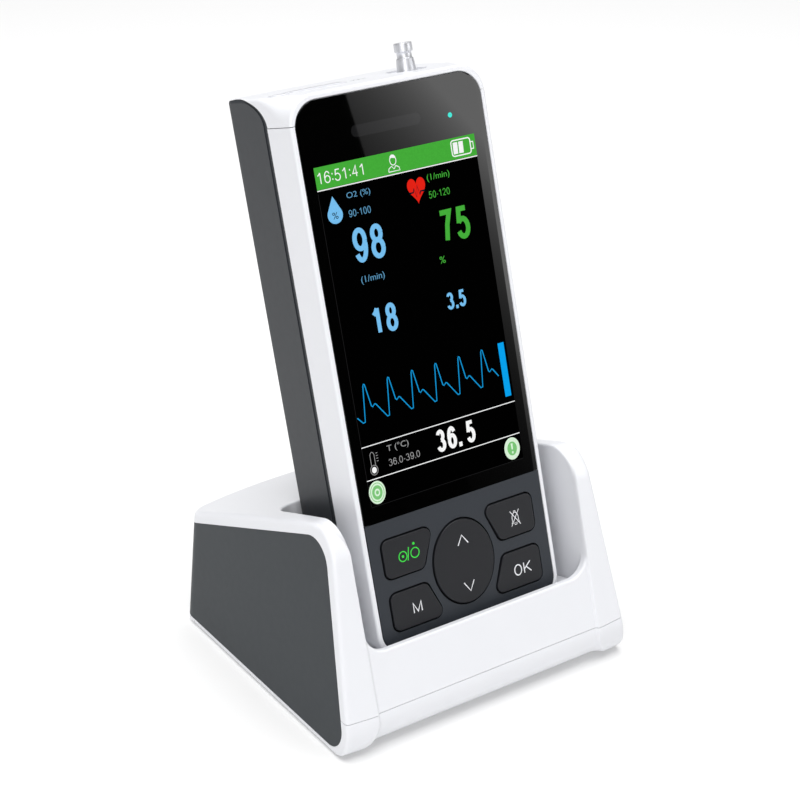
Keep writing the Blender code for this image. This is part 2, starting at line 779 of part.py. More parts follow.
def dock_body(name, inset=0.0, floor=FOOT_STAND, slot=None):
    """The dock's outer form, or the same form drawn in by a wall thickness."""
    stations = [
        (0.0, None, 0.0, 0.0, 0.0),
        (24 * MM, None, 0.0, 0.0, 0.0),
        (CHEEK_INNER - FRONT_RECESS, None, 0.0, 0.0, 0.0),
        (None, 0.0, CHEEK_SWEEP, 0.0, 0.0),
        (None, 0.45, 0.95 * MM, 0.0, 0.4 * MM),
        (None, 0.80, 0.35 * MM, 0.0, 1.9 * MM),
        (None, 0.94, 0.1 * MM, 0.35 * MM, 3.2 * MM),
        (None, 1.0, 0.0, 1.2 * MM, 4.6 * MM),
    ]
    half = []
    for fixed, share, forward, rim, back_inset in stations:
        if share is None:
            forward = CHEEK_SWEEP - FRONT_RECESS
        ring = dock_ring(fixed, share, forward, inset + rim, back_inset, inset, floor)
        half.append(ring)
    mirrored = [[(-x, y, z) for x, y, z in ring] for ring in half[:0:-1]]
    return loft(name, mirrored + half, DOCK, slot)


def panel_outline(grow):
    """The dark panel from the side: it runs on past the back of the dock."""
    lean = math.tan(TILT)
    front = DOCK_FRONT + (PANEL_FRONT_INSET - grow) / math.cos(TILT)
    floor = PANEL_BOTTOM - grow
    top_at_back = 33.9 * MM + grow
    past = DOCK_BACK + 20 * MM
    top_past = top_at_back - PANEL_TOP_SLOPE * 20 * MM
    peak = (top_at_back + PANEL_TOP_SLOPE * (DOCK_BACK - front)) / (1 + PANEL_TOP_SLOPE * lean)
    return rounded(
        [
            (front + lean * floor, floor, PANEL_BASE_BEND + grow),
            (past, floor, MM),
            (past, top_past, MM),
            (front + lean * peak, peak, PANEL_TOP_BEND + grow),
        ],
        6,
    )


def well_form(name, grow, low, high):
    """The prism that the monitor stands in, along the monitor's own length."""
    half_width = CHEEK_INNER + grow
    outline = rounded_box(
        -half_width,
        half_width,
        WELL_FRONT - grow,
        WELL_BACK + grow,
        0.3 * MM,
        WELL_BEND + grow,
    )
    return plate(name, outline, low, high, "Z", MONITOR)


def wrap_recess():
    """Cutter that clears the white shells where the dark wrap lies."""
    recess = plate("wrap_recess", panel_outline(GAP), -FAR, FAR, "X", DOCK)
    cut(recess, dock_body("wrap_recess_core", DOCK_WALL + GAP, FOOT_STAND + FLOOR_WALL))
    return recess


def upper_shell():
    """White shell: two cheeks, front lip, sloping top and the walls of the well."""
    shell = dock_body("dock_upper_shell", slot="white_plastic")
    cavity = dock_body("upper_cavity", DOCK_WALL, FOOT_STAND + FLOOR_WALL)
    cut(cavity, well_form("well_walls", DOCK_WALL, -40 * MM, 120 * MM))
    for index, (x, y) in enumerate(DOCK_SCREWS, 1):
        radius, high = (2.3 * MM, 34 * MM) if y < 0 else (2.8 * MM, 70 * MM)
        boss = rod(f"upper_boss_{index}", (x * MM, y * MM), radius, -MM, high, "Z", DOCK)
        cut(cavity, boss)
    scoop = rounded_box(-CHEEK_INNER, CHEEK_INNER, LIP_TOP, 130 * MM, WELL_BEND, MM, 6)
    below = box("below_dock_seam", (-FAR, -FAR, -FAR), (FAR, FAR, SEAM_HEIGHT + HALF_GAP), DOCK)
    cut(
        shell,
        cavity,
        wrap_recess(),
        well_form("well", 0.0, -40 * MM, 130 * MM),
        plate("scoop", scoop, -30 * MM, WELL_FRONT + 0.6 * MM, "Y", MONITOR),
        below,
    )
    for index, (x, y) in enumerate(DOCK_SCREWS, 1):
        hole = rod(
            f"upper_screw_hole_{index}", (x * MM, y * MM), 1.4 * MM, 0, 24 * MM, "Z", DOCK, sides=12
        )
        cut(shell, hole)


def base_shell():
    """White base with a floor, screw bosses and pockets for the feet."""
    shell = dock_body("dock_base_shell", slot="white_plastic")
    cavity = dock_body("base_cavity", DOCK_WALL, FOOT_STAND + FLOOR_WALL)
    for index, (x, y) in enumerate(DOCK_SCREWS, 1):
        place = (x * MM, y * MM)
        cut(cavity, rod(f"base_boss_{index}", place, 3.4 * MM, -MM, 12.6 * MM, "Z", DOCK))
    above = box("above_dock_seam", (-FAR, -FAR, SEAM_HEIGHT - HALF_GAP), (FAR, FAR, FAR), DOCK)
    recess = bpy.data.objects["wrap_recess"]
    cut(shell, cavity, recess, above)
    for index, (x, y) in enumerate(DOCK_SCREWS, 1):
        place = (x * MM, y * MM)
        cut(
            shell,
            rod(f"base_screw_hole_{index}", place, 1.4 * MM, 0, 20 * MM, "Z", DOCK, sides=12),
            rod(f"base_screw_well_{index}", place, 2.7 * MM, -MM, 3.4 * MM, "Z", DOCK),
        )
    for index, (x, y) in enumerate(FEET, 1):
        place = (x * MM, y * MM)
        cut(shell, rod(f"foot_pocket_{index}", place, 5.3 * MM, -MM, 1.3 * MM, "Z", DOCK))
        rod(f"rubber_foot_{index}", place, 5 * MM, 0, MM, "Z", DOCK, "rubber", 20)


def rear_wrap():
    """Dark panel that covers both sides and the back in one piece."""
    wrap = dock_body("dock_rear_wrap", slot="dark_plastic")
    cut(wrap, dock_body("wrap_core", DOCK_WALL, FOOT_STAND + FLOOR_WALL))
    combine(wrap, plate("wrap_outline", panel_outline(0.0), -FAR, FAR, "X", DOCK), "INTERSECT")
    slot = rounded_box(-4.8 * MM, 4.8 * MM, 6.7 * MM, 10.3 * MM, 1.6 * MM, 1.6 * MM)
    cut(wrap, plate("power_slot", slot, 30 * MM, 60 * MM, "Y", DOCK))


def dock_screws():
    """Four screws from below that hold the two shells together."""
    for index, (x, y) in enumerate(DOCK_SCREWS, 1):
        profile = [(0, 22), (1.1, 22), (1.1, 3.1), (2.3, 3.1), (2.3, 1.4), (0, 1.4)]
        points = [(radius * MM, height * MM) for radius, height in profile]
        turned(f"dock_screw_{index}", points, (x * MM, y * MM), DOCK, "bare_steel")


def cradle_seat():
    """Plate that closes the bottom of the well, with a pocket for the monitor's lower end."""
    half_width = CHEEK_INNER - GAP
    outline = rounded_box(
        -half_width,
        half_width,
        WELL_FRONT + GAP,
        WELL_BACK - GAP,
        0.3 * MM,
        WELL_BEND - GAP,
    )
    seat = plate("cradle_seat", outline, SEAT_BOTTOM, SEAT_TOP, "Z", MONITOR, "white_plastic")
    pocket = rounded_box(-34 * MM, 34 * MM, -0.45 * MM, 35.2 * MM, 0.5 * MM, 1.5 * MM, 2)
    cut(seat, plate("seat_pocket", pocket, -GAP, 20 * MM, "Z", MONITOR))
    for index in range(3):
        place = ((index - 1) * PIN_SPACING, PIN_DEPTH)
        cut(
            seat,
            rod(f"pin_hole_{index + 1}", place, 1.3 * MM, -20 * MM, 20 * MM, "Z", MONITOR, sides=12),
        )


def charge_pins():
    """Three sprung pins under the monitor's pads, and the board that holds them."""
    for index in range(3):
        place = ((index - 1) * PIN_SPACING, PIN_DEPTH)
        profile = [(0, -0.2), (0.7, -0.2), (1.0, -0.6), (1.0, -5.3), (1.6, -5.3), (1.6, -6.6), (0, -6.6)]
        points = [(radius * MM, height * MM) for radius, height in profile]
        turned(f"charge_pin_{index + 1}", points, place, MONITOR, "gold_plate")
    outline = rounded_box(-15 * MM, 15 * MM, 14 * MM, 29 * MM, MM, MM, 2)
    plate("pin_board", outline, -9.6 * MM, -8.0 * MM, "Z", MONITOR, "circuit_board")


def dock_inside():
    """Charge board, ballast and power socket on the dock's floor."""
    board = rounded_box(-28 * MM, 28 * MM, 0, 38 * MM, 2 * MM, 2 * MM, 2)
    plate("charge_board", board, 4.2 * MM, 5.8 * MM, "Z", DOCK, "circuit_board")
    ballast = rounded_box(-30 * MM, 30 * MM, -40 * MM, -18 * MM, 2 * MM, 2 * MM, 2)
    plate("ballast_plate", ballast, 2.4 * MM, 5.0 * MM, "Z", DOCK, "bare_steel")
    socket = box(
        "power_socket",
        (-5.2 * MM, 40 * MM, 6.1 * MM),
        (5.2 * MM, DOCK_BACK - DOCK_WALL - GAP, 10.9 * MM),
        DOCK,
        "black_plastic",
    )
    hollow = rounded_box(-4.3 * MM, 4.3 * MM, 7.2 * MM, 9.8 * MM, 1.2 * MM, 1.2 * MM)
    cut(socket, plate("power_hollow", hollow, 42 * MM, 60 * MM, "Y", DOCK))


def build():
    """Makes every sub-part."""
    front_frame()
    top_cap()
    rear_cover()
    case_seal()
    case_screws()
    battery_door()
    display_stack()
    keypad()
    electronics()
    charge_pads()
    end_fittings()
    upper_shell()
    base_shell()
    rear_wrap()
    dock_screws()
    cradle_seat()
    charge_pins()
    dock_inside()


build()
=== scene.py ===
"""Looks of a hand-held patient monitor in its charging dock.

Everything is in metres. The dock's parts are placed in the row's own frame. The monitor's parts
are made in the monitor's frame and then turned into place: X across the screen, Y into the
monitor from the face of its front rim, Z along the screen from its lower end.
"""

import functools
import json
import math

import bmesh
import bpy
import numpy as np
from mathutils import Matrix, Vector


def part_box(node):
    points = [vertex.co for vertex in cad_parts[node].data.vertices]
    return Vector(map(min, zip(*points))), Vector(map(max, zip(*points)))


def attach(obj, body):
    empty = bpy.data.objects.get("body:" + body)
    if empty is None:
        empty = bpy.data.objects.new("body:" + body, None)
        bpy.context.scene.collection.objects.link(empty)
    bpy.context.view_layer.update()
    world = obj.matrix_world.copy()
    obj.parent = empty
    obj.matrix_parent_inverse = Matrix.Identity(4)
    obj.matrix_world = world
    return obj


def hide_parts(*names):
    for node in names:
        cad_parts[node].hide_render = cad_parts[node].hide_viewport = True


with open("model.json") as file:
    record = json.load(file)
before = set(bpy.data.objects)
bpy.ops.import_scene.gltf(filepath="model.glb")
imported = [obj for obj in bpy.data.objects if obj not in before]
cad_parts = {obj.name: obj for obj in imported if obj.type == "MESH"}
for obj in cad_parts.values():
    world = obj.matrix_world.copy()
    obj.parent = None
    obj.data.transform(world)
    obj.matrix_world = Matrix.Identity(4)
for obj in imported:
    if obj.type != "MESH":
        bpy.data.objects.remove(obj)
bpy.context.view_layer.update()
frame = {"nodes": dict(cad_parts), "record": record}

MM = 0.001
GAP = 0.3 * MM  # clearance between CAD parts
HALF_SEAM = 0.1 * MM  # half the width of a shut line
INK = 0.02 * MM  # height of one printed or lit layer
FAR = 200 * MM  # beyond the object, for cutting tools
ARC_STEPS = 14

# The monitor's frame, found from the keypad panel, whose lower front edge is known in it
TILT = math.radians(16.5)
PANEL_FACE = 0.1 * MM
PANEL_BACK = 1.2 * MM
PANEL_LOW = 1.9 * MM
panel_low, panel_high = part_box("keypad_panel")
MONITOR_PLACE = Vector(
    (
        (panel_low.x + panel_high.x) / 2,
        panel_low.y - PANEL_FACE * math.cos(TILT) - PANEL_LOW * math.sin(TILT),
        panel_low.z + PANEL_BACK * math.sin(TILT) - PANEL_LOW * math.cos(TILT),
    )
)
MONITOR = Matrix.Translation(MONITOR_PLACE) @ Matrix.Rotation(-TILT, 4, "X")
DOCK = Matrix.Identity(4)

# Dock
base_low, base_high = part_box("dock_base_shell")
DOCK_HALF_WIDTH = 53.2 * MM
SIDE_LEAN = 0.102
DOCK_BACK = 49.75 * MM
DOCK_FRONT = -51.1 * MM
FOOT_STAND = base_low.z
SEAM_HEIGHT = base_high.z + GAP / 2
TOP_AT_BACK = 40.7 * MM
TOP_SLOPE = 0.365
FRONT_BEND = 11.5 * MM
BASE_BEND = 12.0 * MM
REAR_BEND = 6.0 * MM
RIM_BEND = 1.4 * MM
LOW_RIM_BEND = 1.0 * MM
INNER_BEND = 0.5 * MM
CHEEK_INNER = 41.0 * MM
CHEEK_SWEEP = 1.7 * MM
CENTRE_SWEEP = 0.85 * MM
EDGE_DROOP = 1.0 * MM
BACK_DROOP = 2.7 * MM
DOCK_WALL = 1.8 * MM
WELL_FRONT = -2.6 * MM
WELL_BACK = 37.6 * MM
WELL_BEND = 7.0 * MM
LIP_TOP = 6.0 * MM
WRAP_INSET = 2.5 * MM
WRAP_LOW = 2.4 * MM
WRAP_TOP_AT_BACK = 33.9 * MM
WRAP_SLOPE = 0.4
WRAP_BENDS = (6.2 * MM, 8.5 * MM)
WRAP_GAP = 0.12 * MM
DOCK_REGION = ((-55 * MM, -54 * MM, -MM), (55 * MM, 51.5 * MM, 69 * MM))
FOOT_TOP = 16 * MM

# Monitor case
HALF_WIDTH = 33.5 * MM
LENGTH = 166.8 * MM
DEPTH = 34.6 * MM
CASE_WALL = 1.8 * MM
FRONT_CORNER = 8.7 * MM
BACK_CORNER = 1.4 * MM
TOP_RISE = 0.95 * MM
REAR_ROUND = 1.3 * MM
REAR_SEAM = 165.2 * MM
CURVE_END = (36.0 * MM, 167.4 * MM)
LOW_CORNER = 7.5 * MM
CORNER_CHANGE_DEPTH = 17.0 * MM
PARTING = 13.4 * MM
CAP_SEAM = 158.6 * MM
CURVE_CENTRE = (30.0 * MM, 158.5 * MM)
CURVE_REACH = (16.8 * MM, 8.9 * MM)
BAND_WIDTH = 2.1 * MM
RIM_ROUND = 0.8 * MM
RECESS_SIDE = 32.0 * MM
RECESS_LOW = 1.75 * MM
RECESS_TOP = 165.05 * MM
GLASS_SIDE = 31.75 * MM
GLASS_LOW = 41.7 * MM
GLASS_TOP = 164.8 * MM
RECESS_BENDS = (6.2 * MM, 7.9 * MM)  # lower and upper corners
EDGE_BREAK = 0.3 * MM
VIEW_DEPTHS = (1.5 * MM, 2.9 * MM)  # front and back of the ledge behind the glass
SCREW_PLACES = [(x * MM, z * MM) for z in (12, 149) for x in (-28, 28)]
DOOR = (25.3 * MM, 50 * MM, 122 * MM)  # half width, lower and upper edge
PAD_SPACING = 8 * MM
SOUND_SLOT = (-2.3 * MM, 154 * MM)

# The lit picture, from its left to its right and from its lower to its upper edge (mm)
SCREEN = (-28.4, 27.15, 46.6, 146.3)

# Keypad
KEY_FACE = -0.4 * MM
KEY_OUTER = 27.5 * MM
KEY_NEAR = 9.2 * MM
KEY_FAR = 14.2 * MM
UPPER_KEYS = (24.0 * MM, 35.8 * MM)
LOWER_KEYS = (7.8 * MM, 19.3 * MM)
KEY_BEND = 2.2 * MM
KEY_CLEARANCE = 0.5 * MM
ROCKER_CENTRE = 21.8 * MM
ROCKER_REACH = (10.8 * MM, 13.0 * MM)

# Camera, floor and lights: a lamp's strength is the light it adds to a white card facing it
CAMERA_PLACE = (-0.29186, -0.42797, 0.33739)
CAMERA_DOWN = 26.049
CAMERA_ROUND = -34.234
LENS = 85.23
FLOOR_SHADE = 0.7
FLOOR_GLOW = 0.17
WORLD_LEVEL = 0.25
LAMP_DISTANCE = 1.6
FRONT_LAMP = {"toward": (-0.66, -0.74, 0.32), "size": 0.9, "strength": 0.34}
TOP_LAMP = {"toward": (0.0, 0.0, 1.0), "size": 1.8, "strength": 1.7}

# The card that the glass mirrors: its glow at one point, and how fast that grows either way
CARD_LEVEL = 1.05
CARD_ORIGIN = (0.0592, 0.2366)
CARD_ACROSS = 17.75
CARD_UP = 16.1
CARD_PEAK = 2.7
CARD_DISTANCE = 1.6

# Upper end
NIPPLE_PLACE = (17.6 * MM, 15.9 * MM)
SOCKET_PLACE = (-14.5 * MM, 15.9 * MM)
SOCKET_MOUTH = (SOCKET_PLACE, 8.8 * MM, 2 * MM, 1.2 * MM)
JACK_PLACE = (-28.2 * MM, 13.0 * MM)
LIGHT_PLACE = (19.8 * MM, 153.0 * MM)


# Materials ---------------------------------------------------------------------------------

# Nearly all of a noise texture's values lie between these
NOISE_LOW, NOISE_HIGH = 0.3, 0.7


def linear(red, green, blue):
    """A display colour, 0 to 255, as the linear colour that a shader takes."""
    shares = [value / 255 for value in (red, green, blue)]
    return [v / 12.92 if v <= 0.04045 else ((v + 0.055) / 1.055) ** 2.4 for v in shares]


def set_inputs(node, **inputs):
    """Sets some of a node's sockets; an underscore stands for a space in a socket's name."""
    for name, value in inputs.items():
        node.inputs[name.replace("_", " ")].default_value = value


def add_node(tree, kind, **inputs):
    """A shader node with some of its sockets set."""
    node = tree.nodes.new(kind)
    set_inputs(node, **inputs)
    return node


def new_material(name):
    """A material, with its tree of nodes and its shader."""
    material = bpy.data.materials.new(name)
    material.use_nodes = True
    return material, material.node_tree, material.node_tree.nodes["Principled BSDF"]


def noise_of(tree, size, detail=3.0):
    """Noise whose blotches are about one size, in metres, fixed to the piece."""
    place = add_node(tree, "ShaderNodeTexCoord")
    noise = add_node(tree, "ShaderNodeTexNoise", Scale=1 / size, Detail=detail)
    tree.links.new(place.outputs["Object"], noise.inputs["Vector"])
    return noise.outputs["Fac"]


def ranged(tree, value, low, high):
    """A 0 to 1 value spread over another range."""
    spread = add_node(tree, "ShaderNodeMapRange")
    set_inputs(spread, From_Min=NOISE_LOW, From_Max=NOISE_HIGH, To_Min=low, To_Max=high)
    tree.links.new(value, spread.inputs["Value"])
    return spread.outputs["Result"]


def tinted(tree, value, dark, light):
    """A colour between two, chosen by a value."""
    ramp = add_node(tree, "ShaderNodeValToRGB")
    ends = ((NOISE_LOW, dark), (NOISE_HIGH, light))
    for element, (position, colour) in zip(ramp.color_ramp.elements, ends):
        element.position = position
        element.color = (*colour, 1)
    tree.links.new(value, ramp.inputs["Fac"])
    return ramp.outputs["Color"]


def surface(
    name,
    colour,
    roughness,
    metallic=0.0,
    specular=0.5,
    mottle=0.02,
    mottle_size=9 * MM,
    grain=0.004 * MM,
    grain_size=0.25 * MM,
    uneven=0.05,
):
    """A moulded, painted or bare surface: mottled colour, uneven gloss and a fine grain."""
    material, tree, shader = new_material(name)
    base = linear(*colour)
    dark = [value * (1 - mottle) for value in base]
    light = [min(value * (1 + mottle), 1.0) for value in base]
    blotches = noise_of(tree, mottle_size)
    tree.links.new(tinted(tree, blotches, dark, light), shader.inputs["Base Color"])
    wear = noise_of(tree, mottle_size / 4)
    gloss = ranged(tree, wear, max(roughness - uneven, 0.02), roughness + uneven)
    tree.links.new(gloss, shader.inputs["Roughness"])
    set_inputs(shader, Metallic=metallic, Specular_IOR_Level=specular)
    bump = add_node(tree, "ShaderNodeBump", Strength=1.0, Distance=grain)
    tree.links.new(noise_of(tree, grain_size, 2.0), bump.inputs["Height"])
    tree.links.new(bump.outputs["Normal"], shader.inputs["Normal"])
    return material


def lit(name, colour, strength=1.0):
    """A lit area of the screen: a fine grid of picture elements, each a little uneven."""
    material, tree, shader = new_material(name)
    base = linear(*colour)
    dots = noise_of(tree, 0.5 * MM, 1.0)
    glow = tinted(tree, dots, [value * 0.95 for value in base], [value * 1.05 for value in base])
    tree.links.new(glow, shader.inputs["Emission Color"])
    set_inputs(shader, Emission_Strength=strength, Base_Color=(0, 0, 0, 1))
    set_inputs(shader, Specular_IOR_Level=0.0, Roughness=0.6)
    return material


SMOOTH = {"mottle": 0.003, "uneven": 0.003, "grain": 0.0008 * MM}
FINE = {"mottle": 0.01, "grain": 0.001 * MM}
SATIN = {"mottle": 0.006, "uneven": 0.02, "grain": 0.003 * MM}
POLISHED = {"uneven": 0.004, "grain": 0.00005 * MM, "grain_size": 9 * MM}

# Each material slot of the record, and the few other finishes: colour, roughness and the rest
SURFACES = {
    "white_plastic": ((226, 227, 231), 0.3, SMOOTH),
    "dark_plastic": ((46, 49, 53), 0.42, {"specular": 0.3, **SATIN}),
    "dock_wrap": ((46, 51, 55), 0.45, {"specular": 0.25, **SATIN}),
    "keypad_plastic": ((42, 46, 52), 0.45, {"specular": 0.3, **SATIN}),
    "key_rubber": ((25, 26, 30), 0.42, {"specular": 0.3, **SATIN}),
    "black_glass": ((2, 2, 2), 0.012, POLISHED),
    "sound_slot": ((24, 24, 25), 0.012, POLISHED),
    "screen": ((1, 1, 1), 0.5, {"specular": 0.0, "grain": 0.0005 * MM}),
    "bare_steel": ((200, 200, 203), 0.28, {"metallic": 1.0, "grain": 0.002 * MM}),
    "plated_steel": ((214, 215, 219), 0.42, {"metallic": 0.75, **FINE}),
    "gold_plate": ((222, 186, 110), 0.22, {"metallic": 1.0, "grain": 0.001 * MM}),
    "circuit_board": ((20, 96, 56), 0.45, {"mottle": 0.1, "mottle_size": 3 * MM}),
    "black_plastic": ((28, 28, 30), 0.5, {"mottle": 0.05}),
    "battery_wrap": ((70, 104, 158), 0.35, {"mottle": 0.05}),
    "rubber": ((40, 40, 41), 0.8, {"mottle": 0.08, "grain": 0.02 * MM}),
    "print_white": ((225, 226, 230), 0.5, {}),
    "print_green": ((40, 214, 52), 0.5, {"mottle": 0.03}),
    "print_grey": ((60, 60, 64), 0.5, {"mottle": 0.03}),
}
LIT = {
    "lit_bar_green": (68, 170, 57),
    "lit_white": (245, 246, 246),
    "lit_grey": (150, 150, 150),
    "lit_dim": (34, 34, 35),
    "lit_blue": (118, 190, 238),
    "lit_soft_blue": (92, 150, 186),
    "lit_wave": (22, 150, 214),
    "lit_level": (9, 160, 236),
    "lit_green": (68, 172, 58),
    "lit_red": (226, 34, 22),
    "lit_pale": (216, 240, 214),
    "lit_mid": (122, 196, 118),
    "lit_ink": (10, 22, 34),
}
LOOKS = {name: lit(name, colour) for name, colour in LIT.items()}
LOOKS["clear_plastic"] = lit("clear_plastic", (70, 226, 210), 1.1)
for slot_name, (slot_colour, slot_roughness, details) in SURFACES.items():
    LOOKS[slot_name] = surface(slot_name, slot_colour, slot_roughness, **details)


def dress_frame():
    """Gives every carried-over CAD node the look of its material slot."""
    slots = {entry["node"]: entry["material_slot"] for entry in frame["record"]["subparts"]}
    for name, thing in frame["nodes"].items():
        thing.data.materials.clear()
        thing.data.materials.append(LOOKS[slots[name]])


# Shapes ------------------------------------------------------------------------------------


def place_mesh(name, shape, matrix):
    """Puts a shape in the scene as a mesh with its faces pointing out and its place in it."""
    bmesh.ops.recalc_face_normals(shape, faces=shape.faces)
    mesh = bpy.data.meshes.new(name)
    shape.to_mesh(mesh)
    shape.free()
    mesh.transform(matrix)
    thing = bpy.data.objects.new(name, mesh)
    bpy.context.scene.collection.objects.link(thing)
    return thing


def box(name, low, high, matrix):
    """A block between two corners."""
    low, high = Vector(low), Vector(high)
    shape = bmesh.new()
    bmesh.ops.create_cube(shape, size=1.0)
    bmesh.ops.scale(shape, vec=high - low, verts=shape.verts)
    bmesh.ops.translate(shape, vec=(low + high) / 2, verts=shape.verts)
    return place_mesh(name, shape, matrix)


AXIS_TURN = {
    "X": Matrix(((0, 0, 1, 0), (1, 0, 0, 0), (0, 1, 0, 0), (0, 0, 0, 1))),
    "Y": Matrix.Rotation(math.radians(90), 4, "X"),
    "Z": Matrix.Identity(4),
}
AXIS_VECTOR = {"X": Vector((1, 0, 0)), "Y": Vector((0, 1, 0)), "Z": Vector((0, 0, 1))}


def rod(name, centre, radius, low, high, axis, matrix):
    """A round bar from low to high along an axis, through a centre in the other two."""
    return plate(name, ellipse(centre, (radius, radius), 48), low, high, axis, matrix)


def shape_of_curve(curve, turn=DOCK):
    """A clean skin of a curve."""
    drawing = bpy.data.objects.new(curve.name, curve)
    bpy.context.scene.collection.objects.link(drawing)
    graph = bpy.context.evaluated_depsgraph_get()
    shape = bmesh.new()
    shape.from_mesh(bpy.data.meshes.new_from_object(drawing.evaluated_get(graph)))
    shape.transform(turn)
    bmesh.ops.remove_doubles(shape, verts=shape.verts, dist=1e-7)
    bpy.data.objects.remove(drawing)
    return shape


def plate(name, outlines, low, high, axis, matrix):
    """A flat outline, or several with holes, given thickness from low to high along an axis."""
    if not isinstance(outlines[0], list):
        outlines = [outlines]
    curve = bpy.data.curves.new(name, "CURVE")
    curve.dimensions = "2D"
    curve.fill_mode = "BOTH"
    curve.extrude = (high - low) / 2
    for outline in outlines:
        spline = curve.splines.new("POLY")
        spline.points.add(len(outline) - 1)
        for point, (a, b) in zip(spline.points, outline):
            point.co = (a, b, 0, 1)
        spline.use_cyclic_u = True
    turn = Matrix.Translation(AXIS_VECTOR[axis] * (low + high) / 2) @ AXIS_TURN[axis]
    return place_mesh(name, shape_of_curve(curve, turn), matrix)


def skin_quads(shape, rows):
    """Faces between one closed row of vertices and the next."""
    for row, following in zip(rows, rows[1:]):
        for index in range(len(row)):
            after = (index + 1) % len(row)
            shape.faces.new((row[index], row[after], following[after], following[index]))


def loft(name, rings, matrix, closed=False):
    """A skin over rings of matching points, with flat ends or joined end to end."""
    shape = bmesh.new()
    rows = [[shape.verts.new(point) for point in ring] for ring in rings]
    skin_quads(shape, rows + rows[:1] if closed else rows)
    if not closed:
        shape.faces.new(rows[0])
        shape.faces.new(rows[-1])
    return place_mesh(name, shape, matrix)


def turned(name, profile, centre, matrix):
    """A turned piece: (radius, height) points spun about Z, closed where they reach the axis."""
    shape = bmesh.new()
    points = [shape.verts.new((radius, 0, height)) for radius, height in profile]
    edges = [shape.edges.new(pair) for pair in zip(points, points[1:])]
    spun = points + edges
    whole = 2 * math.pi
    bmesh.ops.spin(shape, geom=spun, axis=(0, 0, 1), angle=whole, steps=64, use_merge=True)
    bmesh.ops.remove_doubles(shape, verts=shape.verts, dist=1e-7)
    bmesh.ops.translate(shape, vec=(*centre, 0), verts=shape.verts)
    return place_mesh(name, shape, matrix)


def rounded(corners, steps=ARC_STEPS):
    """A closed outline through corners (a, b, radius), each turned into an arc."""
    points = []
    for index, (a, b, radius) in enumerate(corners):
        corner = Vector((a, b))
        following = corners[(index + 1) % len(corners)]
        before = (Vector(corners[index - 1][:2]) - corner).normalized()
        after = (Vector(following[:2]) - corner).normalized()
        half_angle = before.angle(after) / 2
        reach = radius / math.tan(half_angle)
        centre = corner + (before + after).normalized() * radius / math.sin(half_angle)
        first = corner + before * reach - centre
        last = corner + after * reach - centre
        sweep = first.angle(last)
        for step in range(steps + 1):
            share = step / steps
            spoke = first * math.sin((1 - share) * sweep) + last * math.sin(share * sweep)
            points.append(tuple(centre + spoke / math.sin(sweep)))
    return points


def rounded_box(left, right, low, high, low_bend, high_bend=None, steps=ARC_STEPS):
    """A rectangle whose upper corners may have another bend than its lower ones."""
    high_bend = low_bend if high_bend is None else high_bend
    lower = [(left, low, low_bend), (right, low, low_bend)]
    return rounded(lower + [(right, high, high_bend), (left, high, high_bend)], steps)


def centred_box(place, across, up, bend):
    """A rectangle with round corners that reaches the same way on both sides of a place."""
    x, y = place
    return rounded_box(x - across, x + across, y - up, y + up, bend)


def ellipse(centre, reach, sides=64):
    """A closed ellipse."""
    turns = [2 * math.pi * index / sides for index in range(sides)]
    return [
        (centre[0] + reach[0] * math.cos(turn), centre[1] + reach[1] * math.sin(turn))
        for turn in turns
    ]


def quarter(radius, steps=6):
    """Offsets (inset, rise) round a quarter circle, from the side (0, radius) to the top."""
    turns = [math.pi / 2 * index / steps for index in range(steps + 1)]
    return [(radius * (1 - math.cos(turn)), radius * (1 - math.sin(turn))) for turn in turns]


def apply_modifiers(thing):
    """Makes a piece's modifiers part of its mesh."""
    graph = bpy.context.evaluated_depsgraph_get()
    result = bpy.data.meshes.new_from_object(thing.evaluated_get(graph))
    thing.modifiers.clear()
    thing.data = result


def combine(thing, tool, operation="DIFFERENCE", solver="EXACT"):
    """Applies a Boolean and removes the tool."""
    modifier = thing.modifiers.new("combine", "BOOLEAN")
    modifier.operation = operation
    modifier.object = tool
    modifier.solver = solver
    apply_modifiers(thing)
    bpy.data.objects.remove(tool)


def cut(thing, *tools, solver="EXACT"):
    """Takes each tool away from a piece."""
    for tool in tools:
        combine(thing, tool, "DIFFERENCE", solver)


def bevel(thing, width, segments=3, angle=50):
    """Rounds a piece's sharp edges."""
    modifier = thing.modifiers.new("bevel", "BEVEL")
    modifier.width = width
    modifier.segments = segments
    modifier.limit_method = "ANGLE"
    modifier.angle_limit = math.radians(angle)
    apply_modifiers(thing)


def finish_piece(thing, body, slot, *nodes, look=None, sharp=35):
    """Gives a piece its look and smooth shading, and lets it ride and stand for CAD nodes."""
    thing.data.materials.clear()
    thing.data.materials.append(LOOKS[look or slot])
    thing.data.shade_smooth()
    thing.data.set_sharp_from_angle(angle=math.radians(sharp))
    weighted = thing.modifiers.new("weighted", "WEIGHTED_NORMAL")
    weighted.keep_sharp = True
    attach(thing, body)
    if nodes:
        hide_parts(*nodes)


# Dock --------------------------------------------------------------------------------------


def meet(a, b, radius):
    """Distance to what lies inside two forms, with the edge between them rounded."""
    corner = np.hypot(np.maximum(a + radius, 0), np.maximum(b + radius, 0))
    return np.minimum(np.maximum(a, b), -radius) + corner


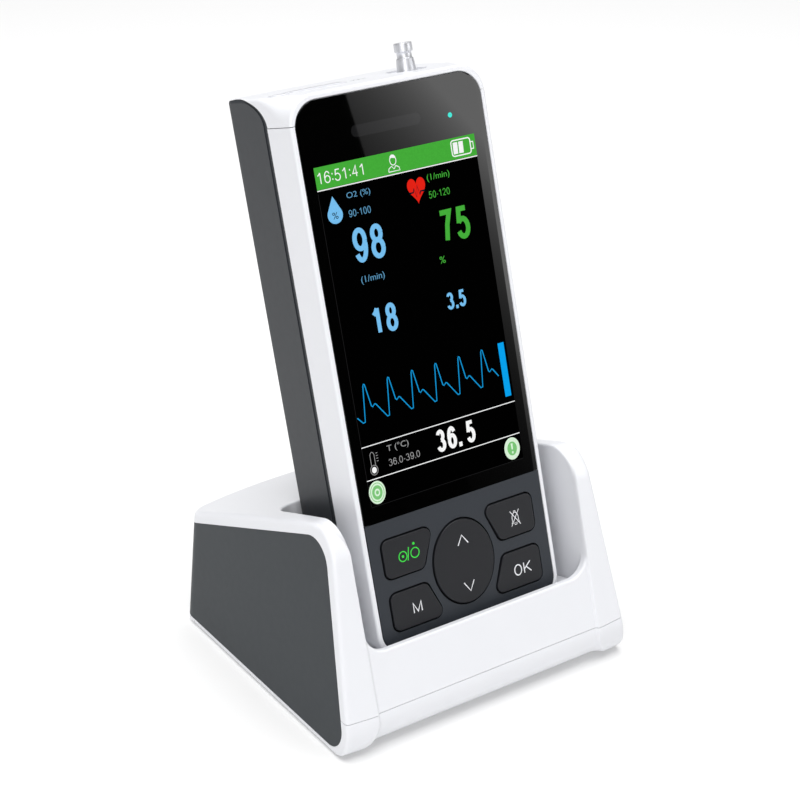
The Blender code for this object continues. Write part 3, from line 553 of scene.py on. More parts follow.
def dock_form(x, y, z):
    """Distance to the dock's outer form, without its well."""
    across = np.abs(x)
    along = np.clip((y + 19.7 * MM) / (63 * MM), 0, 1.3)
    lift = np.clip((z - SEAM_HEIGHT) / (TOP_AT_BACK - SEAM_HEIGHT), 0, 1)
    droop = (EDGE_DROOP + BACK_DROOP * along**2) * (across / DOCK_HALF_WIDTH) ** 3 * lift
    side = (across - DOCK_HALF_WIDTH + SIDE_LEAN * z) / math.hypot(1, SIDE_LEAN)
    top = (z + droop - TOP_AT_BACK - TOP_SLOPE * (DOCK_BACK - y)) / math.hypot(1, TOP_SLOPE)
    outward = np.clip((across - CHEEK_INNER) / (DOCK_HALF_WIDTH - CHEEK_INNER), 0, 1)
    sweep = CHEEK_SWEEP * (1 - outward**1.7)
    lean = DOCK_FRONT + math.tan(TILT) * z - y
    cheek = meet((lean - sweep) * math.cos(TILT), CHEEK_INNER - across, 0.5 * MM)
    centre = (lean - CENTRE_SWEEP) * math.cos(TILT)
    front = -meet(-centre, -cheek, 0.4 * MM)
    profile = meet(meet(front, top, FRONT_BEND), FOOT_STAND - z, BASE_BEND)
    walls = meet(side, y - DOCK_BACK, REAR_BEND)
    edge = LOW_RIM_BEND + (RIM_BEND - LOW_RIM_BEND) * np.clip((z - 2 * MM) / (8 * MM), 0, 1)
    return meet(profile, walls, edge)


def upper_form(x, y, z):
    """Distance to the dock's form with the well and the front scoop taken out."""
    across = np.abs(x)
    back = y - MONITOR_PLACE.y
    rise = z - MONITOR_PLACE.z
    depth = back * math.cos(TILT) - rise * math.sin(TILT)
    height = back * math.sin(TILT) + rise * math.cos(TILT)
    well = meet(across - CHEEK_INNER, depth - WELL_BACK, WELL_BEND)
    scoop = meet(across - CHEEK_INNER, LIP_TOP - height, WELL_BEND)
    lip = meet(depth - WELL_FRONT, -scoop, 0.5 * MM)
    return meet(dock_form(x, y, z), np.minimum(-well, lip), INNER_BEND)


def foot_form(x, y, z):
    """Distance to the dock's form below a level a little above the seam."""
    return np.maximum(dock_form(x, y, z), z - FOOT_TOP)


def crossings(field, cells):
    """The mean point where the surface crosses each cell's edges, in grid steps."""
    total = np.zeros((len(cells), 3))
    hits = np.zeros(len(cells))
    for axis in range(3):
        others = [other for other in range(3) if other != axis]
        for first, second in ((0, 0), (0, 1), (1, 0), (1, 1)):
            start = cells.copy()
            start[:, others[0]] += first
            start[:, others[1]] += second
            end = start.copy()
            end[:, axis] += 1
            near, far = field[tuple(start.T)], field[tuple(end.T)]
            crosses = (near < 0) != (far < 0)
            spot = start.astype(float)
            spot[:, axis] += near / np.where(crosses, near - far, 1)
            total += spot * crosses[:, None]
            hits += crosses
    return total / hits[:, None]


def quads_round(inside, number):
    """One face round each grid edge that passes through the surface."""
    faces = []
    for axis in range(3):
        ahead = np.roll(inside, -1, axis)
        changes = inside != ahead
        edges = np.argwhere(changes)
        edges = edges[(edges > 0).all(1) & (edges < np.array(inside.shape) - 1).all(1)]
        first, second = [np.eye(3, dtype=int)[other] for other in range(3) if other != axis]
        corners = [edges, edges - first, edges - first - second, edges - second]
        faces.append(np.stack([number[tuple(corner.T)] for corner in corners], 1))
    return np.concatenate(faces)


def settle(points, distance, nudge):
    """Moves points onto the surface where a distance is zero."""
    for _ in range(4):
        value = distance(*points.T)
        slope = np.empty_like(points)
        for axis in range(3):
            step = np.eye(3)[axis] * nudge
            slope[:, axis] = (distance(*(points + step).T) - distance(*(points - step).T)) / (
                2 * nudge
            )
        points = points - slope * (value / np.maximum((slope**2).sum(1), 0.25))[:, None]
    return points


def skin(name, distance, low, high, step):
    """A closed skin, as a net of small faces, round the region where a distance is negative."""
    axes = [np.arange(start, end + step, step) for start, end in zip(low, high)]
    field = distance(*np.meshgrid(*axes, indexing="ij"))
    inside = field < 0
    size = np.array(inside.shape) - 1
    total = np.zeros(size, int)
    for offset in np.ndindex(2, 2, 2):
        window = tuple(slice(start, start + count) for start, count in zip(offset, size))
        total += inside[window]
    cells = np.argwhere((total > 0) & (total < 8))
    number = np.full(size, -1)
    number[tuple(cells.T)] = np.arange(len(cells))
    starts = np.array([axis[0] for axis in axes])
    points = settle(starts + step * crossings(field, cells), distance, step / 20)
    mesh = bpy.data.meshes.new(name)
    mesh.from_pydata(points.tolist(), [], quads_round(inside, number).tolist())
    shape = bmesh.new()
    shape.from_mesh(mesh)
    bpy.data.meshes.remove(mesh)
    return place_mesh(name, shape, DOCK)


def inner_form(wall, floor):
    """Distance function of the room inside the dock, a wall's thickness in from outside."""

    def distance(x, y, z):
        return meet(dock_form(x, y, z) + wall, floor - z, 1.0 * MM)

    return distance


def wrap_outline(grow):
    """The dark wrap from the side: it runs on past the back of the dock."""
    lean = math.tan(TILT)
    front = DOCK_FRONT + (WRAP_INSET - grow) / math.cos(TILT)
    low = WRAP_LOW - grow
    top_at_back = WRAP_TOP_AT_BACK + grow
    beyond = 20 * MM
    peak = (top_at_back + WRAP_SLOPE * (DOCK_BACK - front)) / (1 + WRAP_SLOPE * lean)
    corners = [
        (front + lean * low, low, WRAP_BENDS[0] + grow),
        (DOCK_BACK + beyond, low, MM),
        (DOCK_BACK + beyond, top_at_back - WRAP_SLOPE * beyond, MM),
        (front + lean * peak, peak, WRAP_BENDS[1] + grow),
    ]
    return rounded(corners, 24)


def well_prism(grow):
    """The prism that the monitor stands in, grown by a wall's thickness."""
    half_width = CHEEK_INNER + grow
    front, back = WELL_FRONT - grow, WELL_BACK + grow
    outline = rounded_box(-half_width, half_width, front, back, 0.3 * MM, WELL_BEND + grow)
    return plate("well_walls", outline, -40 * MM, 120 * MM, "Z", MONITOR)


def dock_room(wall):
    """The room inside the dock's walls."""
    return skin("room", inner_form(wall, 2 * MM), *DOCK_REGION, 1.5 * MM)


def dock_shells():
    """The white upper and base shells and the dark wrap, each a shell with a wall."""
    low, high = DOCK_REGION
    step = 0.45 * MM
    upper = skin("dock_top_shell", upper_form, low, high, step)
    base = skin("dock_foot_shell", foot_form, low, (*high[:2], FOOT_TOP + 2 * MM), step)
    wrap = skin("dock_side_wrap", dock_form, low, high, MM)
    below = box("below", (-FAR, -FAR, -FAR), (FAR, FAR, SEAM_HEIGHT + HALF_SEAM), DOCK)
    above = box("above", (-FAR, -FAR, SEAM_HEIGHT - HALF_SEAM), (FAR, FAR, FAR), DOCK)
    room = dock_room(DOCK_WALL)
    cut(room, well_prism(DOCK_WALL), solver="MANIFOLD")
    cut(upper, below, room, solver="MANIFOLD")
    cut(base, above, dock_room(DOCK_WALL), solver="MANIFOLD")
    for shell in (upper, base):
        recess = plate("recess", wrap_outline(WRAP_GAP), -FAR, FAR, "X", DOCK)
        cut(recess, dock_room(DOCK_WALL + GAP), solver="MANIFOLD")
        cut(shell, recess, solver="MANIFOLD")
    cut(wrap, dock_room(DOCK_WALL), solver="MANIFOLD")
    panel = plate("panel", wrap_outline(0), -FAR, FAR, "X", DOCK)
    combine(wrap, panel, "INTERSECT", "MANIFOLD")
    slot = rounded_box(-4.8 * MM, 4.8 * MM, 6.7 * MM, 10.3 * MM, 1.6 * MM)
    cut(wrap, plate("slot", slot, 30 * MM, 60 * MM, "Y", DOCK), solver="MANIFOLD")
    finish_piece(upper, "dock", "white_plastic", "dock_upper_shell", sharp=50)
    finish_piece(base, "dock", "white_plastic", "dock_base_shell", sharp=50)
    finish_piece(wrap, "dock", "dark_plastic", "dock_rear_wrap", look="dock_wrap", sharp=40)


# Monitor case ------------------------------------------------------------------------------


def top_at(depth):
    """Height of the upper end at one depth: it rises a little towards the back."""
    return LENGTH + TOP_RISE * min(max(depth / DEPTH, 0.0), 1.0)


def case_ring(depth, inset=0.0):
    """The outline of the case at one depth: its upper corners get tighter towards the back."""
    share = min(max(depth / CORNER_CHANGE_DEPTH, 0.0), 1.0)
    blend = share * share * (3 - 2 * share)
    corner = FRONT_CORNER + (BACK_CORNER - FRONT_CORNER) * blend
    side, top = HALF_WIDTH - inset, top_at(depth) - inset
    bends = LOW_CORNER - inset, max(corner - inset, EDGE_BREAK)
    return [(x, depth, z) for x, z in rounded_box(-side, side, inset, top, *bends)]


def recess_ring(depth, grow=0.0):
    """The outline of the recess that the glass and keypad lie in."""
    side, low, top = RECESS_SIDE + grow, RECESS_LOW - grow, RECESS_TOP + grow
    bends = [bend + grow for bend in RECESS_BENDS]
    return [(x, depth, z) for x, z in rounded_box(-side, side, low, top, *bends)]


def curve_points(offset, steps=36):
    """The curve that parts the dark cover from the white cap, in (depth, height)."""
    turns = [math.pi / 2 * index / steps for index in range(steps + 1)]
    reach = (CURVE_REACH[0] + offset, CURVE_REACH[1] + offset)
    points = [
        (CURVE_CENTRE[0] - reach[0] * math.cos(turn), CURVE_CENTRE[1] + reach[1] * math.sin(turn))
        for turn in turns
    ]
    return points + [(CURVE_END[0], CURVE_END[1] + offset)]


def rim_rings():
    """Rings over the front rim, from its outer side to the recess inside it."""
    outer = [case_ring(rise, inset) for inset, rise in quarter(RIM_ROUND)]
    inner = quarter(EDGE_BREAK, 3)
    return outer + [recess_ring(rise, inset) for inset, rise in reversed(inner)]


def front_bezel():
    """White frame round the glass, swept as one closed band and cut off at the cap's seam."""
    ledge, back = VIEW_DEPTHS
    rings = [case_ring(PARTING - HALF_SEAM)]
    rings += [case_ring(depth * MM) for depth in (12, 9, 6, 3.5, 2)]
    rings += rim_rings()
    rings += [recess_ring(ledge), recess_ring(ledge, -2 * MM), recess_ring(back, -2 * MM)]
    rings += [case_ring(back, CASE_WALL), case_ring(PARTING - HALF_SEAM, CASE_WALL)]
    bezel = loft("front_bezel", rings, MONITOR, closed=True)
    cut(bezel, box("above", (-FAR, -FAR, CAP_SEAM - HALF_SEAM), (FAR, FAR, FAR * 2), MONITOR))
    finish_piece(bezel, "monitor", "white_plastic", "front_frame")


def end_cap():
    """White cap over the upper end, with the fittings' holes and a shallow tray round them."""
    rings = [case_ring(rise, inset) for inset, rise in reversed(quarter(RIM_ROUND))]
    rings += [case_ring(depth * MM) for depth in (2, 3.5, 5, 6.5, 8, 9.5, 11, 12.5, 14, 15.5, 17)]
    rings += [case_ring(DEPTH - rise, inset) for inset, rise in quarter(REAR_ROUND, 8)]
    cap = loft("end_cap", rings, MONITOR)
    below = box("below", (-FAR, -FAR, -FAR), (FAR, FAR, CAP_SEAM + HALF_SEAM), MONITOR)
    flare = [recess_ring(-MM, EDGE_BREAK)]
    flare += [recess_ring(rise, inset) for inset, rise in reversed(quarter(EDGE_BREAK, 3))]
    recess = loft("recess", flare + [recess_ring(VIEW_DEPTHS[0])], MONITOR)
    view = loft("view", [recess_ring(MM, -2 * MM), recess_ring(5 * MM, -2 * MM)], MONITOR)
    inner = [case_ring(depth * MM, 1.6 * MM) for depth in (2.9, 4, 6, 8, 10, 12, 14, 17, 33)]
    under = box("under", (-FAR, 28 * MM, -FAR), (FAR, FAR, REAR_SEAM + HALF_SEAM), MONITOR)
    cut(cap, below, recess, view, loft("room", inner, MONITOR), under)
    wall = HALF_WIDTH - CASE_WALL - GAP
    side = [(PARTING + HALF_SEAM, 140 * MM)] + curve_points(HALF_SEAM)
    side += [(50 * MM, side[-1][1]), (50 * MM, 140 * MM)]
    for low, high in ((-FAR, -wall), (wall, FAR)):
        cut(cap, plate("side", side, low, high, "X", MONITOR))
    tray = centred_box(SOCKET_PLACE, 9.8 * MM, 3.8 * MM, 2.6 * MM)
    inside, outside = 160 * MM, 170 * MM
    cut(
        cap,
        plate("slot", centred_box(*SOCKET_MOUTH), inside, outside, "Z", MONITOR),
        plate("tray", tray, LENGTH - MM, outside, "Z", MONITOR),
        rod("jack_dish", JACK_PLACE, 3.2 * MM, LENGTH - 0.2 * MM, outside, "Z", MONITOR),
        rod("jack_hole", JACK_PLACE, 1.9 * MM, inside, outside, "Z", MONITOR),
        rod("nipple_hole", NIPPLE_PLACE, 2.3 * MM, inside, outside, "Z", MONITOR),
        rod("dish", NIPPLE_PLACE, 6.2 * MM, LENGTH - 0.5 * MM, outside, "Z", MONITOR),
    )
    bevel(cap, 0.12 * MM, 2, 60)
    finish_piece(cap, "monitor", "white_plastic", "top_cap")


def swept_band():
    """The shallow step behind the seam: it narrows to nothing along the swept corner."""
    outer = curve_points(0.2 * MM)
    tapered = []
    for index, point in enumerate(curve_points(0.0)):
        share = index / (len(outer) - 1)
        inward = Vector(CURVE_CENTRE) - Vector(point)
        tapered.append(tuple(Vector(point) + inward.normalized() * BAND_WIDTH * (1 - share)))
    return [(PARTING, -MM)] + outer + tapered[::-1] + [(PARTING + BAND_WIDTH, -MM)]


def back_cover():
    """Dark tub: rounded rear edge, a swept upper corner and a shallow step behind the seam."""
    rings = [case_ring(depth * MM) for depth in (13.55, 14.5, 15.5, 17, 24, 32.1)]
    rings += [case_ring(DEPTH - rise, inset) for inset, rise in quarter(REAR_ROUND, 8)[1:]]
    cover = loft("back_cover", rings, MONITOR)
    inner = HALF_WIDTH - CASE_WALL
    back, lid = DEPTH - CASE_WALL, REAR_SEAM - HALF_SEAM
    room = [(0, CASE_WALL), (back, CASE_WALL), (back, lid), (FAR, lid), (FAR, FAR), (0, FAR)]
    sweep = [(0, CURVE_CENTRE[1])] + curve_points(-HALF_SEAM) + [(CURVE_END[0], FAR), (0, FAR)]
    cut(
        cover,
        plate("room", room, -inner, inner, "X", MONITOR),
        plate("sweep", sweep, -FAR, FAR, "X", MONITOR),
    )
    step = HALF_WIDTH - 0.3 * MM
    for low, high in ((-FAR, -step), (step, FAR)):
        cut(cover, plate("band", swept_band(), low, high, "X", MONITOR))
    side, low, high = DOOR
    door = rounded_box(-side, side, low, high, 3 * MM)
    cut(cover, plate("door", door, 30 * MM, 40 * MM, "Y", MONITOR))
    for place in SCREW_PLACES:
        cut(cover, rod("well", place, 2.5 * MM, 31.2 * MM, 40 * MM, "Y", MONITOR))
    for index in range(3):
        x = (index - 1) * PAD_SPACING
        low, high = (x - 2.8 * MM, 19.6 * MM, -MM), (x + 2.8 * MM, 23.4 * MM, 3 * MM)
        cut(cover, box("pad_hole", low, high, MONITOR))
    finish_piece(cover, "monitor", "dark_plastic", "rear_cover")


def screw_bosses():
    """Posts inside the rear cover that its screws pass through."""
    for index, place in enumerate(SCREW_PLACES, 1):
        rings = [ellipse(place, (radius, radius)) for radius in (3.4 * MM, 1.4 * MM)]
        post = plate(f"screw_boss_{index}", rings, 17 * MM, 31 * MM, "Y", MONITOR)
        finish_piece(post, "monitor", "dark_plastic")


def battery_hatch():
    """Battery door with a soft edge and a row of shallow grip grooves at its lower end."""
    side, low, high = DOOR
    outline = rounded_box(GAP - side, side - GAP, low + GAP, high - GAP, 2.7 * MM)
    door = plate("battery_hatch", outline, 33.1 * MM, 34.5 * MM, "Y", MONITOR)
    cut(door, rod("hole", (0, 117.5 * MM), 2.4 * MM, 30 * MM, 40 * MM, "Y", MONITOR))
    for index in range(5):
        z = 55 * MM + index * 2.2 * MM
        groove = rounded_box(-9 * MM, 9 * MM, z, z + 1.1 * MM, 0.5 * MM, steps=6)
        cut(door, plate("groove", groove, 34.1 * MM, 36 * MM, "Y", MONITOR))
    bevel(door, 0.2 * MM)
    finish_piece(door, "monitor", "dark_plastic", "battery_door")


# Front face --------------------------------------------------------------------------------


def cover_glass():
    """Black glass with a broad, very shallow facet along its long edges."""
    rings = []
    for inset, depth in ((0, 1.2), (0, 0.2), (0.04, 0.16), (1.4, 0.1)):
        side, top = GLASS_SIDE - inset * MM, GLASS_TOP - min(inset, 0.04) * MM
        bends = EDGE_BREAK, (7.6 - inset) * MM
        outline = rounded_box(-side, side, GLASS_LOW, top, *bends)
        rings.append([(x, depth * MM, z) for x, z in outline])
    glass = loft("cover_glass", rings, MONITOR)
    slot = centred_box(SOUND_SLOT, 12 * MM, 1.7 * MM, 1.6 * MM)
    cut(glass, plate("slot", slot, -MM, 0.35 * MM, "Y", MONITOR))
    finish_piece(glass, "monitor", "black_glass", "display_glass", sharp=1)
    grille = plate("sound_slot", slot, 0.13 * MM, 0.33 * MM, "Y", MONITOR)
    finish_piece(grille, "monitor", "black_glass", look="sound_slot", sharp=1)


def status_light():
    """A low round dome on the glass."""
    radius, height = 0.75 * MM, 0.08 * MM
    rings = [[(x, 0.3 * MM, z) for x, z in ellipse(LIGHT_PLACE, (radius, radius), 40)]]
    for share in (1.0, 0.97, 0.85, 0.6, 0.3):
        depth = 0.1 * MM - height * math.sqrt(1 - share**2)
        outline = ellipse(LIGHT_PLACE, (radius * share, radius * share), 40)
        rings.append([(x, depth, z) for x, z in outline])
    finish_piece(loft("status_light", rings, MONITOR), "monitor", "clear_plastic")


def key_outline(side, row, grow=0.0):
    """A key's outline: side -1 or 1, and its inner edge slants away from the rocker."""
    low, high = UPPER_KEYS if row == "upper" else LOWER_KEYS
    low_edge, high_edge = (KEY_FAR, KEY_NEAR) if row == "upper" else (KEY_NEAR, KEY_FAR)
    edges = ((KEY_OUTER + grow, low - grow), (low_edge - grow, low - grow))
    edges += ((high_edge - grow, high + grow), (KEY_OUTER + grow, high + grow))
    return rounded([(side * x, z, KEY_BEND + grow) for x, z in edges], 10)


def button(name, body, outline_at, back, round_over):
    """A button: a straight side, then a rounded edge up to a flat face."""
    rings = [[(x, back, z) for x, z in outline_at(0.0)]]
    for inset, rise in quarter(round_over, 5):
        rings.append([(x, KEY_FACE + rise, z) for x, z in outline_at(-inset)])
    finish_piece(loft(name, rings, MONITOR), body, "key_rubber", body)


KEYS = (
    ("power_key", -1, "upper"),
    ("mute_key", 1, "upper"),
    ("menu_key", -1, "lower"),
    ("ok_key", 1, "lower"),
)


def rocker_outline(grow=0.0):
    """The rocker's outline."""
    reach = (ROCKER_REACH[0] + grow, ROCKER_REACH[1] + grow)
    return ellipse((0, ROCKER_CENTRE), reach, 96)


def keypad():
    """Panel with soft-edged holes, four keys and the rocker."""
    top = GLASS_LOW - 0.1 * MM
    bends = RECESS_BENDS[0], EDGE_BREAK
    outline = rounded_box(-GLASS_SIDE, GLASS_SIDE, PANEL_LOW, top, *bends)
    panel = plate("keypad_film", outline, PANEL_FACE, PANEL_BACK, "Y", MONITOR)
    holes = [key_outline(side, row, KEY_CLEARANCE) for _, side, row in KEYS]
    for hole in holes + [rocker_outline(KEY_CLEARANCE)]:
        cut(panel, plate("hole", hole, -MM, 3 * MM, "Y", MONITOR))
    bevel(panel, 0.12 * MM, 2)
    finish_piece(panel, "monitor", "keypad_plastic", "keypad_panel")
    for name, side, row in KEYS:
        outline_at = functools.partial(key_outline, side, row)
        button(name + "_cap", name, outline_at, 3.6 * MM, 0.32 * MM)
    button("rocker_cap", "nav_rocker", rocker_outline, 3.0 * MM, 0.3 * MM)


# Marks on the keys and the picture on the screen ---------------------------------------------


def lay(name, shape, look, key=None):
    """Fixes a drawn shape to the screen, or to a key."""
    piece = place_mesh(name, shape, MONITOR)
    finish_piece(piece, key or "monitor", "key_rubber" if key else "screen", look=look)


def label(name, text, left, base, width, height, face, look):
    """Unit labels stretched to fit a box, as a thin raised plate (mm)."""
    curve = bpy.data.curves.new(name, "FONT")
    curve.body = text
    curve.resolution_u = 6
    curve.extrude = 0.01
    shape = shape_of_curve(curve)
    xs = [vert.co.x for vert in shape.verts]
    ys = [vert.co.y for vert in shape.verts]
    across = width / (max(xs) - min(xs))
    up = height / (max(ys) - min(ys))
    for vert in shape.verts:
        thickness = INK if vert.co.z > 0 else 0.0
        x = left + (vert.co.x - min(xs)) * across
        z = base + (vert.co.y - min(ys)) * up
        vert.co = (x * MM, face - thickness, z * MM)
    lay(name, shape, look)


def arc(centre, reach, start, end, steps=14):
    """Points along an ellipse between two angles in degrees."""
    points = []
    for step in range(steps + 1):
        turn = math.radians(start + (end - start) * step / steps)
        x = centre[0] + reach[0] * math.cos(turn)
        points.append((x, centre[1] + reach[1] * math.sin(turn)))
    return points


SIX = [arc((0.52, 0.5), (0.52, 0.5), 35, 185), arc((0.5, 0.31), (0.5, 0.31), 170, 530, 28)]
ROUND = [arc((0.5, 0.5), (0.5, 0.5), 0, 360, 32)]
STROKES = {
    "0": ROUND,
    "1": [[(0.12, 0.74), (0.42, 0.86), (0.6, 1.0)], [(0.62, 1.0), (0.62, 0.0)]],
    "2": [arc((0.5, 0.72), (0.48, 0.28), 170, -35) + [(0.03, 0.03), (1.0, 0.0)]],
    "3": [
        arc((0.46, 0.76), (0.44, 0.24), 160, -85),
        arc((0.46, 0.27), (0.52, 0.27), 85, -165),
    ],
    "4": [[(0.72, 0.0), (0.72, 1.0), (0.0, 0.3), (1.0, 0.3)]],
    "5": [[(0.94, 1.0), (0.2, 1.0), (0.08, 0.5)], arc((0.47, 0.32), (0.52, 0.32), 142, -160)],
    "6": SIX,
    "7": [[(0.0, 1.0), (0.98, 1.0), (0.62, 0.55), (0.42, 0.0)]],
    "8": [
        arc((0.5, 0.765), (0.42, 0.235), 0, 360, 28),
        arc((0.5, 0.275), (0.5, 0.275), 0, 360, 28),
    ],
    "9": [[(1 - x, 1 - z) for x, z in line] for line in SIX],
    "-": [[(0.0, 0.38), (1.0, 0.38)]],
    ".": [[(0.5, -0.02), (0.5, 0.02)]],
    ":": [[(0.5, 0.18), (0.5, 0.22)], [(0.5, 0.68), (0.5, 0.72)]],
    "M": [[(0.0, 0.0), (0.0, 1.0), (0.5, 0.06), (1.0, 1.0), (1.0, 0.0)]],
    "O": ROUND,
    "K": [[(0.0, 0.0), (0.0, 1.0)], [(0.96, 1.0), (0.0, 0.36)], [(0.3, 0.58), (1.0, 0.0)]],
}
NARROW = {"-": 0.5, ".": 0.28, ":": 0.28, " ": 0.2}


def add_ribbon(shape, points, width, face):
    """A flat-ended ribbon along points (mm), standing a little proud of a face."""
    rows = []
    for index, point in enumerate(points):
        before = Vector(points[max(index - 1, 0)])
        after = Vector(points[min(index + 1, len(points) - 1)])
        here = Vector(point)
        first = (here - before).normalized() if here != before else (after - here).normalized()
        last = (after - here).normalized() if here != after else first
        along = (first + last).normalized()
        reach = width / 2 / max(along.dot(first), 0.55)
        side = Vector((-along.y, along.x)) * reach
        low, high = here - side, here + side
        corners = [(low, face), (high, face), (high, face - INK), (low, face - INK)]
        rows.append([shape.verts.new((spot.x * MM, depth, spot.y * MM)) for spot, depth in corners])
    skin_quads(shape, rows)
    shape.faces.new(rows[0])
    shape.faces.new(rows[-1])


def figures(name, text, left, base, width, height, weight, face, look, key=None):
    """Plain figures with strokes of one weight, spread over a box (mm)."""
    shape = bmesh.new()
    shares = [NARROW.get(character, 1.0) for character in text]
    gap = 0.22
    unit = width / (sum(shares) + gap * (len(text) - 1))
    tall, foot = height - weight, base + weight / 2
    cursor = left
    for character, share in zip(text, shares):
        for line in STROKES.get(character, []):
            if character in ".:":
                across = cursor + unit * share / 2
                low, high = [foot + z * tall for _, z in line]
                points = [(across, low - weight / 2), (across, high + weight / 2)]
            else:
                edge, wide = cursor + weight / 2, unit * share - weight
                points = [(edge + x * wide, foot + z * tall) for x, z in line]
            add_ribbon(shape, points, weight, face)
        cursor += unit * (share + gap)
    lay(name, shape, look, key)


def wires(name, lines, width):
    """Round wires of one width along lines, each a list of points and whether it closes."""
    curve = bpy.data.curves.new(name, "CURVE")
    curve.dimensions = "3D"
    curve.bevel_depth = width / 2
    curve.bevel_resolution = 2
    curve.use_fill_caps = True
    for points, cyclic in lines:
        spline = curve.splines.new("POLY")
        spline.points.add(len(points) - 1)
        for point, (x, z) in zip(spline.points, points):
            point.co = (x, z, 0, 1)
        spline.use_cyclic_u = cyclic
    return shape_of_curve(curve)


def stroke(name, lines, width, face, look, key=None):
    """Lines of one width (mm), as low ribbons on a face."""
    shape = wires(name, lines, width)
    for vert in shape.verts:
        x, z, rise = vert.co
        vert.co = (x * MM, face - rise * MM * 2 * INK / (width * MM), z * MM)
    lay(name, shape, look, key)


def patch(name, outlines, face, look, key=None):
    """Flat filled outlines (mm) as a thin raised plate."""
    if not isinstance(outlines[0], list):
        outlines = [outlines]
    scaled = [[(x * MM, z * MM) for x, z in outline] for outline in outlines]
    piece = plate(name, scaled, face - INK, face, "Y", MONITOR)
    finish_piece(piece, key or "monitor", "key_rubber" if key else "screen", look=look)


def bar(left, right, low, high):
    """An upright rectangle."""
    return [(left, low), (right, low), (right, high), (left, high)]


def oval(centre, reach, sides=40):
    """A closed round line (mm)."""
    return ellipse(centre, reach, sides)


def key_marks():
    """Generic marks on the keys: on and off, bell struck out, arrows and two plain legends."""
    face = KEY_FACE
    ring = [(oval((-20.93, 29.57), (1.4, 1.5)), True), (oval((-16.64, 29.57), (1.45, 1.5)), True)]
    ring += [([(-19.4, 27.9), (-18.6, 31.8)], False)]
    stroke("power_mark", ring, 0.3, face, "print_green", "power_key")
    dots = [oval((-20.93, 29.57), (0.4, 0.42)), oval((-16.7, 32.4), (0.42, 0.42))]
    patch("power_dots", dots, face, "print_green", "power_key")
    bell = [(19.0, 27.9), (19.35, 28.5), (19.35, 29.8), (19.6, 30.6), (20.1, 31.1), (20.5, 31.25)]
    bell += [(41.0 - x, z) for x, z in reversed(bell[:-1])]
    lines = [(bell, True)]
    lines += [([(20.2, 31.25), (20.2, 31.7), (20.8, 31.7), (20.8, 31.25)], False)]
    lines += [([(20.05, 27.7), (20.2, 27.35), (20.8, 27.35), (20.95, 27.7)], False)]
    lines += [([(18.8, 31.9), (22.2, 27.1)], False), ([(22.2, 31.9), (18.8, 27.1)], False)]
    stroke("mute_mark", lines, 0.22, face, "print_white", "mute_key")
    up = [([(-1.4, 27.0), (0.36, 29.9), (2.3, 27.0)], False)]
    down = [([(-1.4, 15.2), (0.57, 12.2), (2.3, 15.2)], False)]
    stroke("rocker_marks", up + down, 0.36, face, "print_white", "nav_rocker")
    figures("menu_mark", "M", -20.4, 11.5, 3.2, 3.4, 0.36, face, "print_white", "menu_key")
    figures("ok_mark", "OK", 17.2, 11.4, 6.5, 3.6, 0.36, face, "print_white", "ok_key")


def pulse_points():
    """The pulse trace: a steep rise, a fall to a notch, then a slow fall, over and over."""
    points = [(-28.0, 73.6)]
    for beat in range(6):
        start = -26.3 + beat * 8.42
        points += [(start, 71.7), (start + 0.7, 71.8), (start + 1.85, 82.2), (start + 2.1, 82.8)]
        points += [(start + 2.45, 82.6), (start + 3.6, 76.0), (start + 4.0, 75.6)]
        points += [(start + 4.8, 76.3), (start + 5.2, 76.1)]
    points += [(22.75, 73.6)]
    return points


def heart_outline():
    """A plain heart."""
    points = []
    for index in range(60):
        turn = 2 * math.pi * index / 60
        x = 16 * math.sin(turn) ** 3
        dip = 5 * math.cos(2 * turn) + 2 * math.cos(3 * turn) + math.cos(4 * turn)
        z = 13 * math.cos(turn) - dip
        points.append((4.35 + x * 3.15 / 16, 134.2 + z * 3.8 / 14.5))
    return points


def drop_outline():
    """A plain drop: a circle drawn up to a point."""
    centre, radius, tip = (-23.95, 132.15), 2.5, 137.5
    points = [(centre[0], tip)]
    for index in range(37):
        turn = math.radians(150 + 240 * index / 36)
        points.append((centre[0] + radius * math.cos(turn), centre[1] + radius * math.sin(turn)))
    return points


def status_bar(face):
    """Green bar with the time, a plain figure and a battery."""
    left, right, _, top = SCREEN
    patch("screen_bar", bar(left, right, 139.95, top), face, "lit_bar_green")
    patch("screen_bar_line", bar(left, right, 139.55, 139.85), face, "lit_white")
    face -= INK
    figures("screen_time", "16:51:41", -27.9, 141.4, 16.1, 3.4, 0.3, face, "lit_white")
    chest = [(-4.1, 140.6), (-3.9, 141.5), (-2.9, 142.1), (-2.15, 141.2), (-1.4, 142.1)]
    arm = [(-1.4, 142.1), (-0.4, 141.5), (-0.2, 140.6), (-4.1, 140.6)]
    figure = [(oval((-2.15, 143.7), (1.05, 1.35)), True), (chest, False), (arm, False)]
    stroke("screen_person", figure, 0.26, face, "lit_white")
    cap = [(-3.2, 144.2), (-2.6, 144.5), (-1.6, 144.3), (-1.1, 144.1), (-1.2, 144.8)]
    cap += [(-1.7, 145.3), (-2.4, 145.4), (-3.0, 145.0)]
    patch("screen_person_hair", cap, face, "lit_white")
    body = rounded_box(18.5, 25.3, 140.9, 145.5, 0.8, steps=5)
    nub = [(25.4, 144.1), (26.3, 144.1), (26.3, 142.1), (25.4, 142.1)]
    stroke("screen_battery", [(body, True), (nub, False)], 0.36, face, "lit_white")
    cell = [(0, 141.5), (1.6, 141.5), (1.75, 144.9), (0.15, 144.9)]
    cells = [[(start + x, z) for x, z in cell] for start in (19.0, 21.0)]
    patch("screen_battery_level", cells, face, "lit_white")


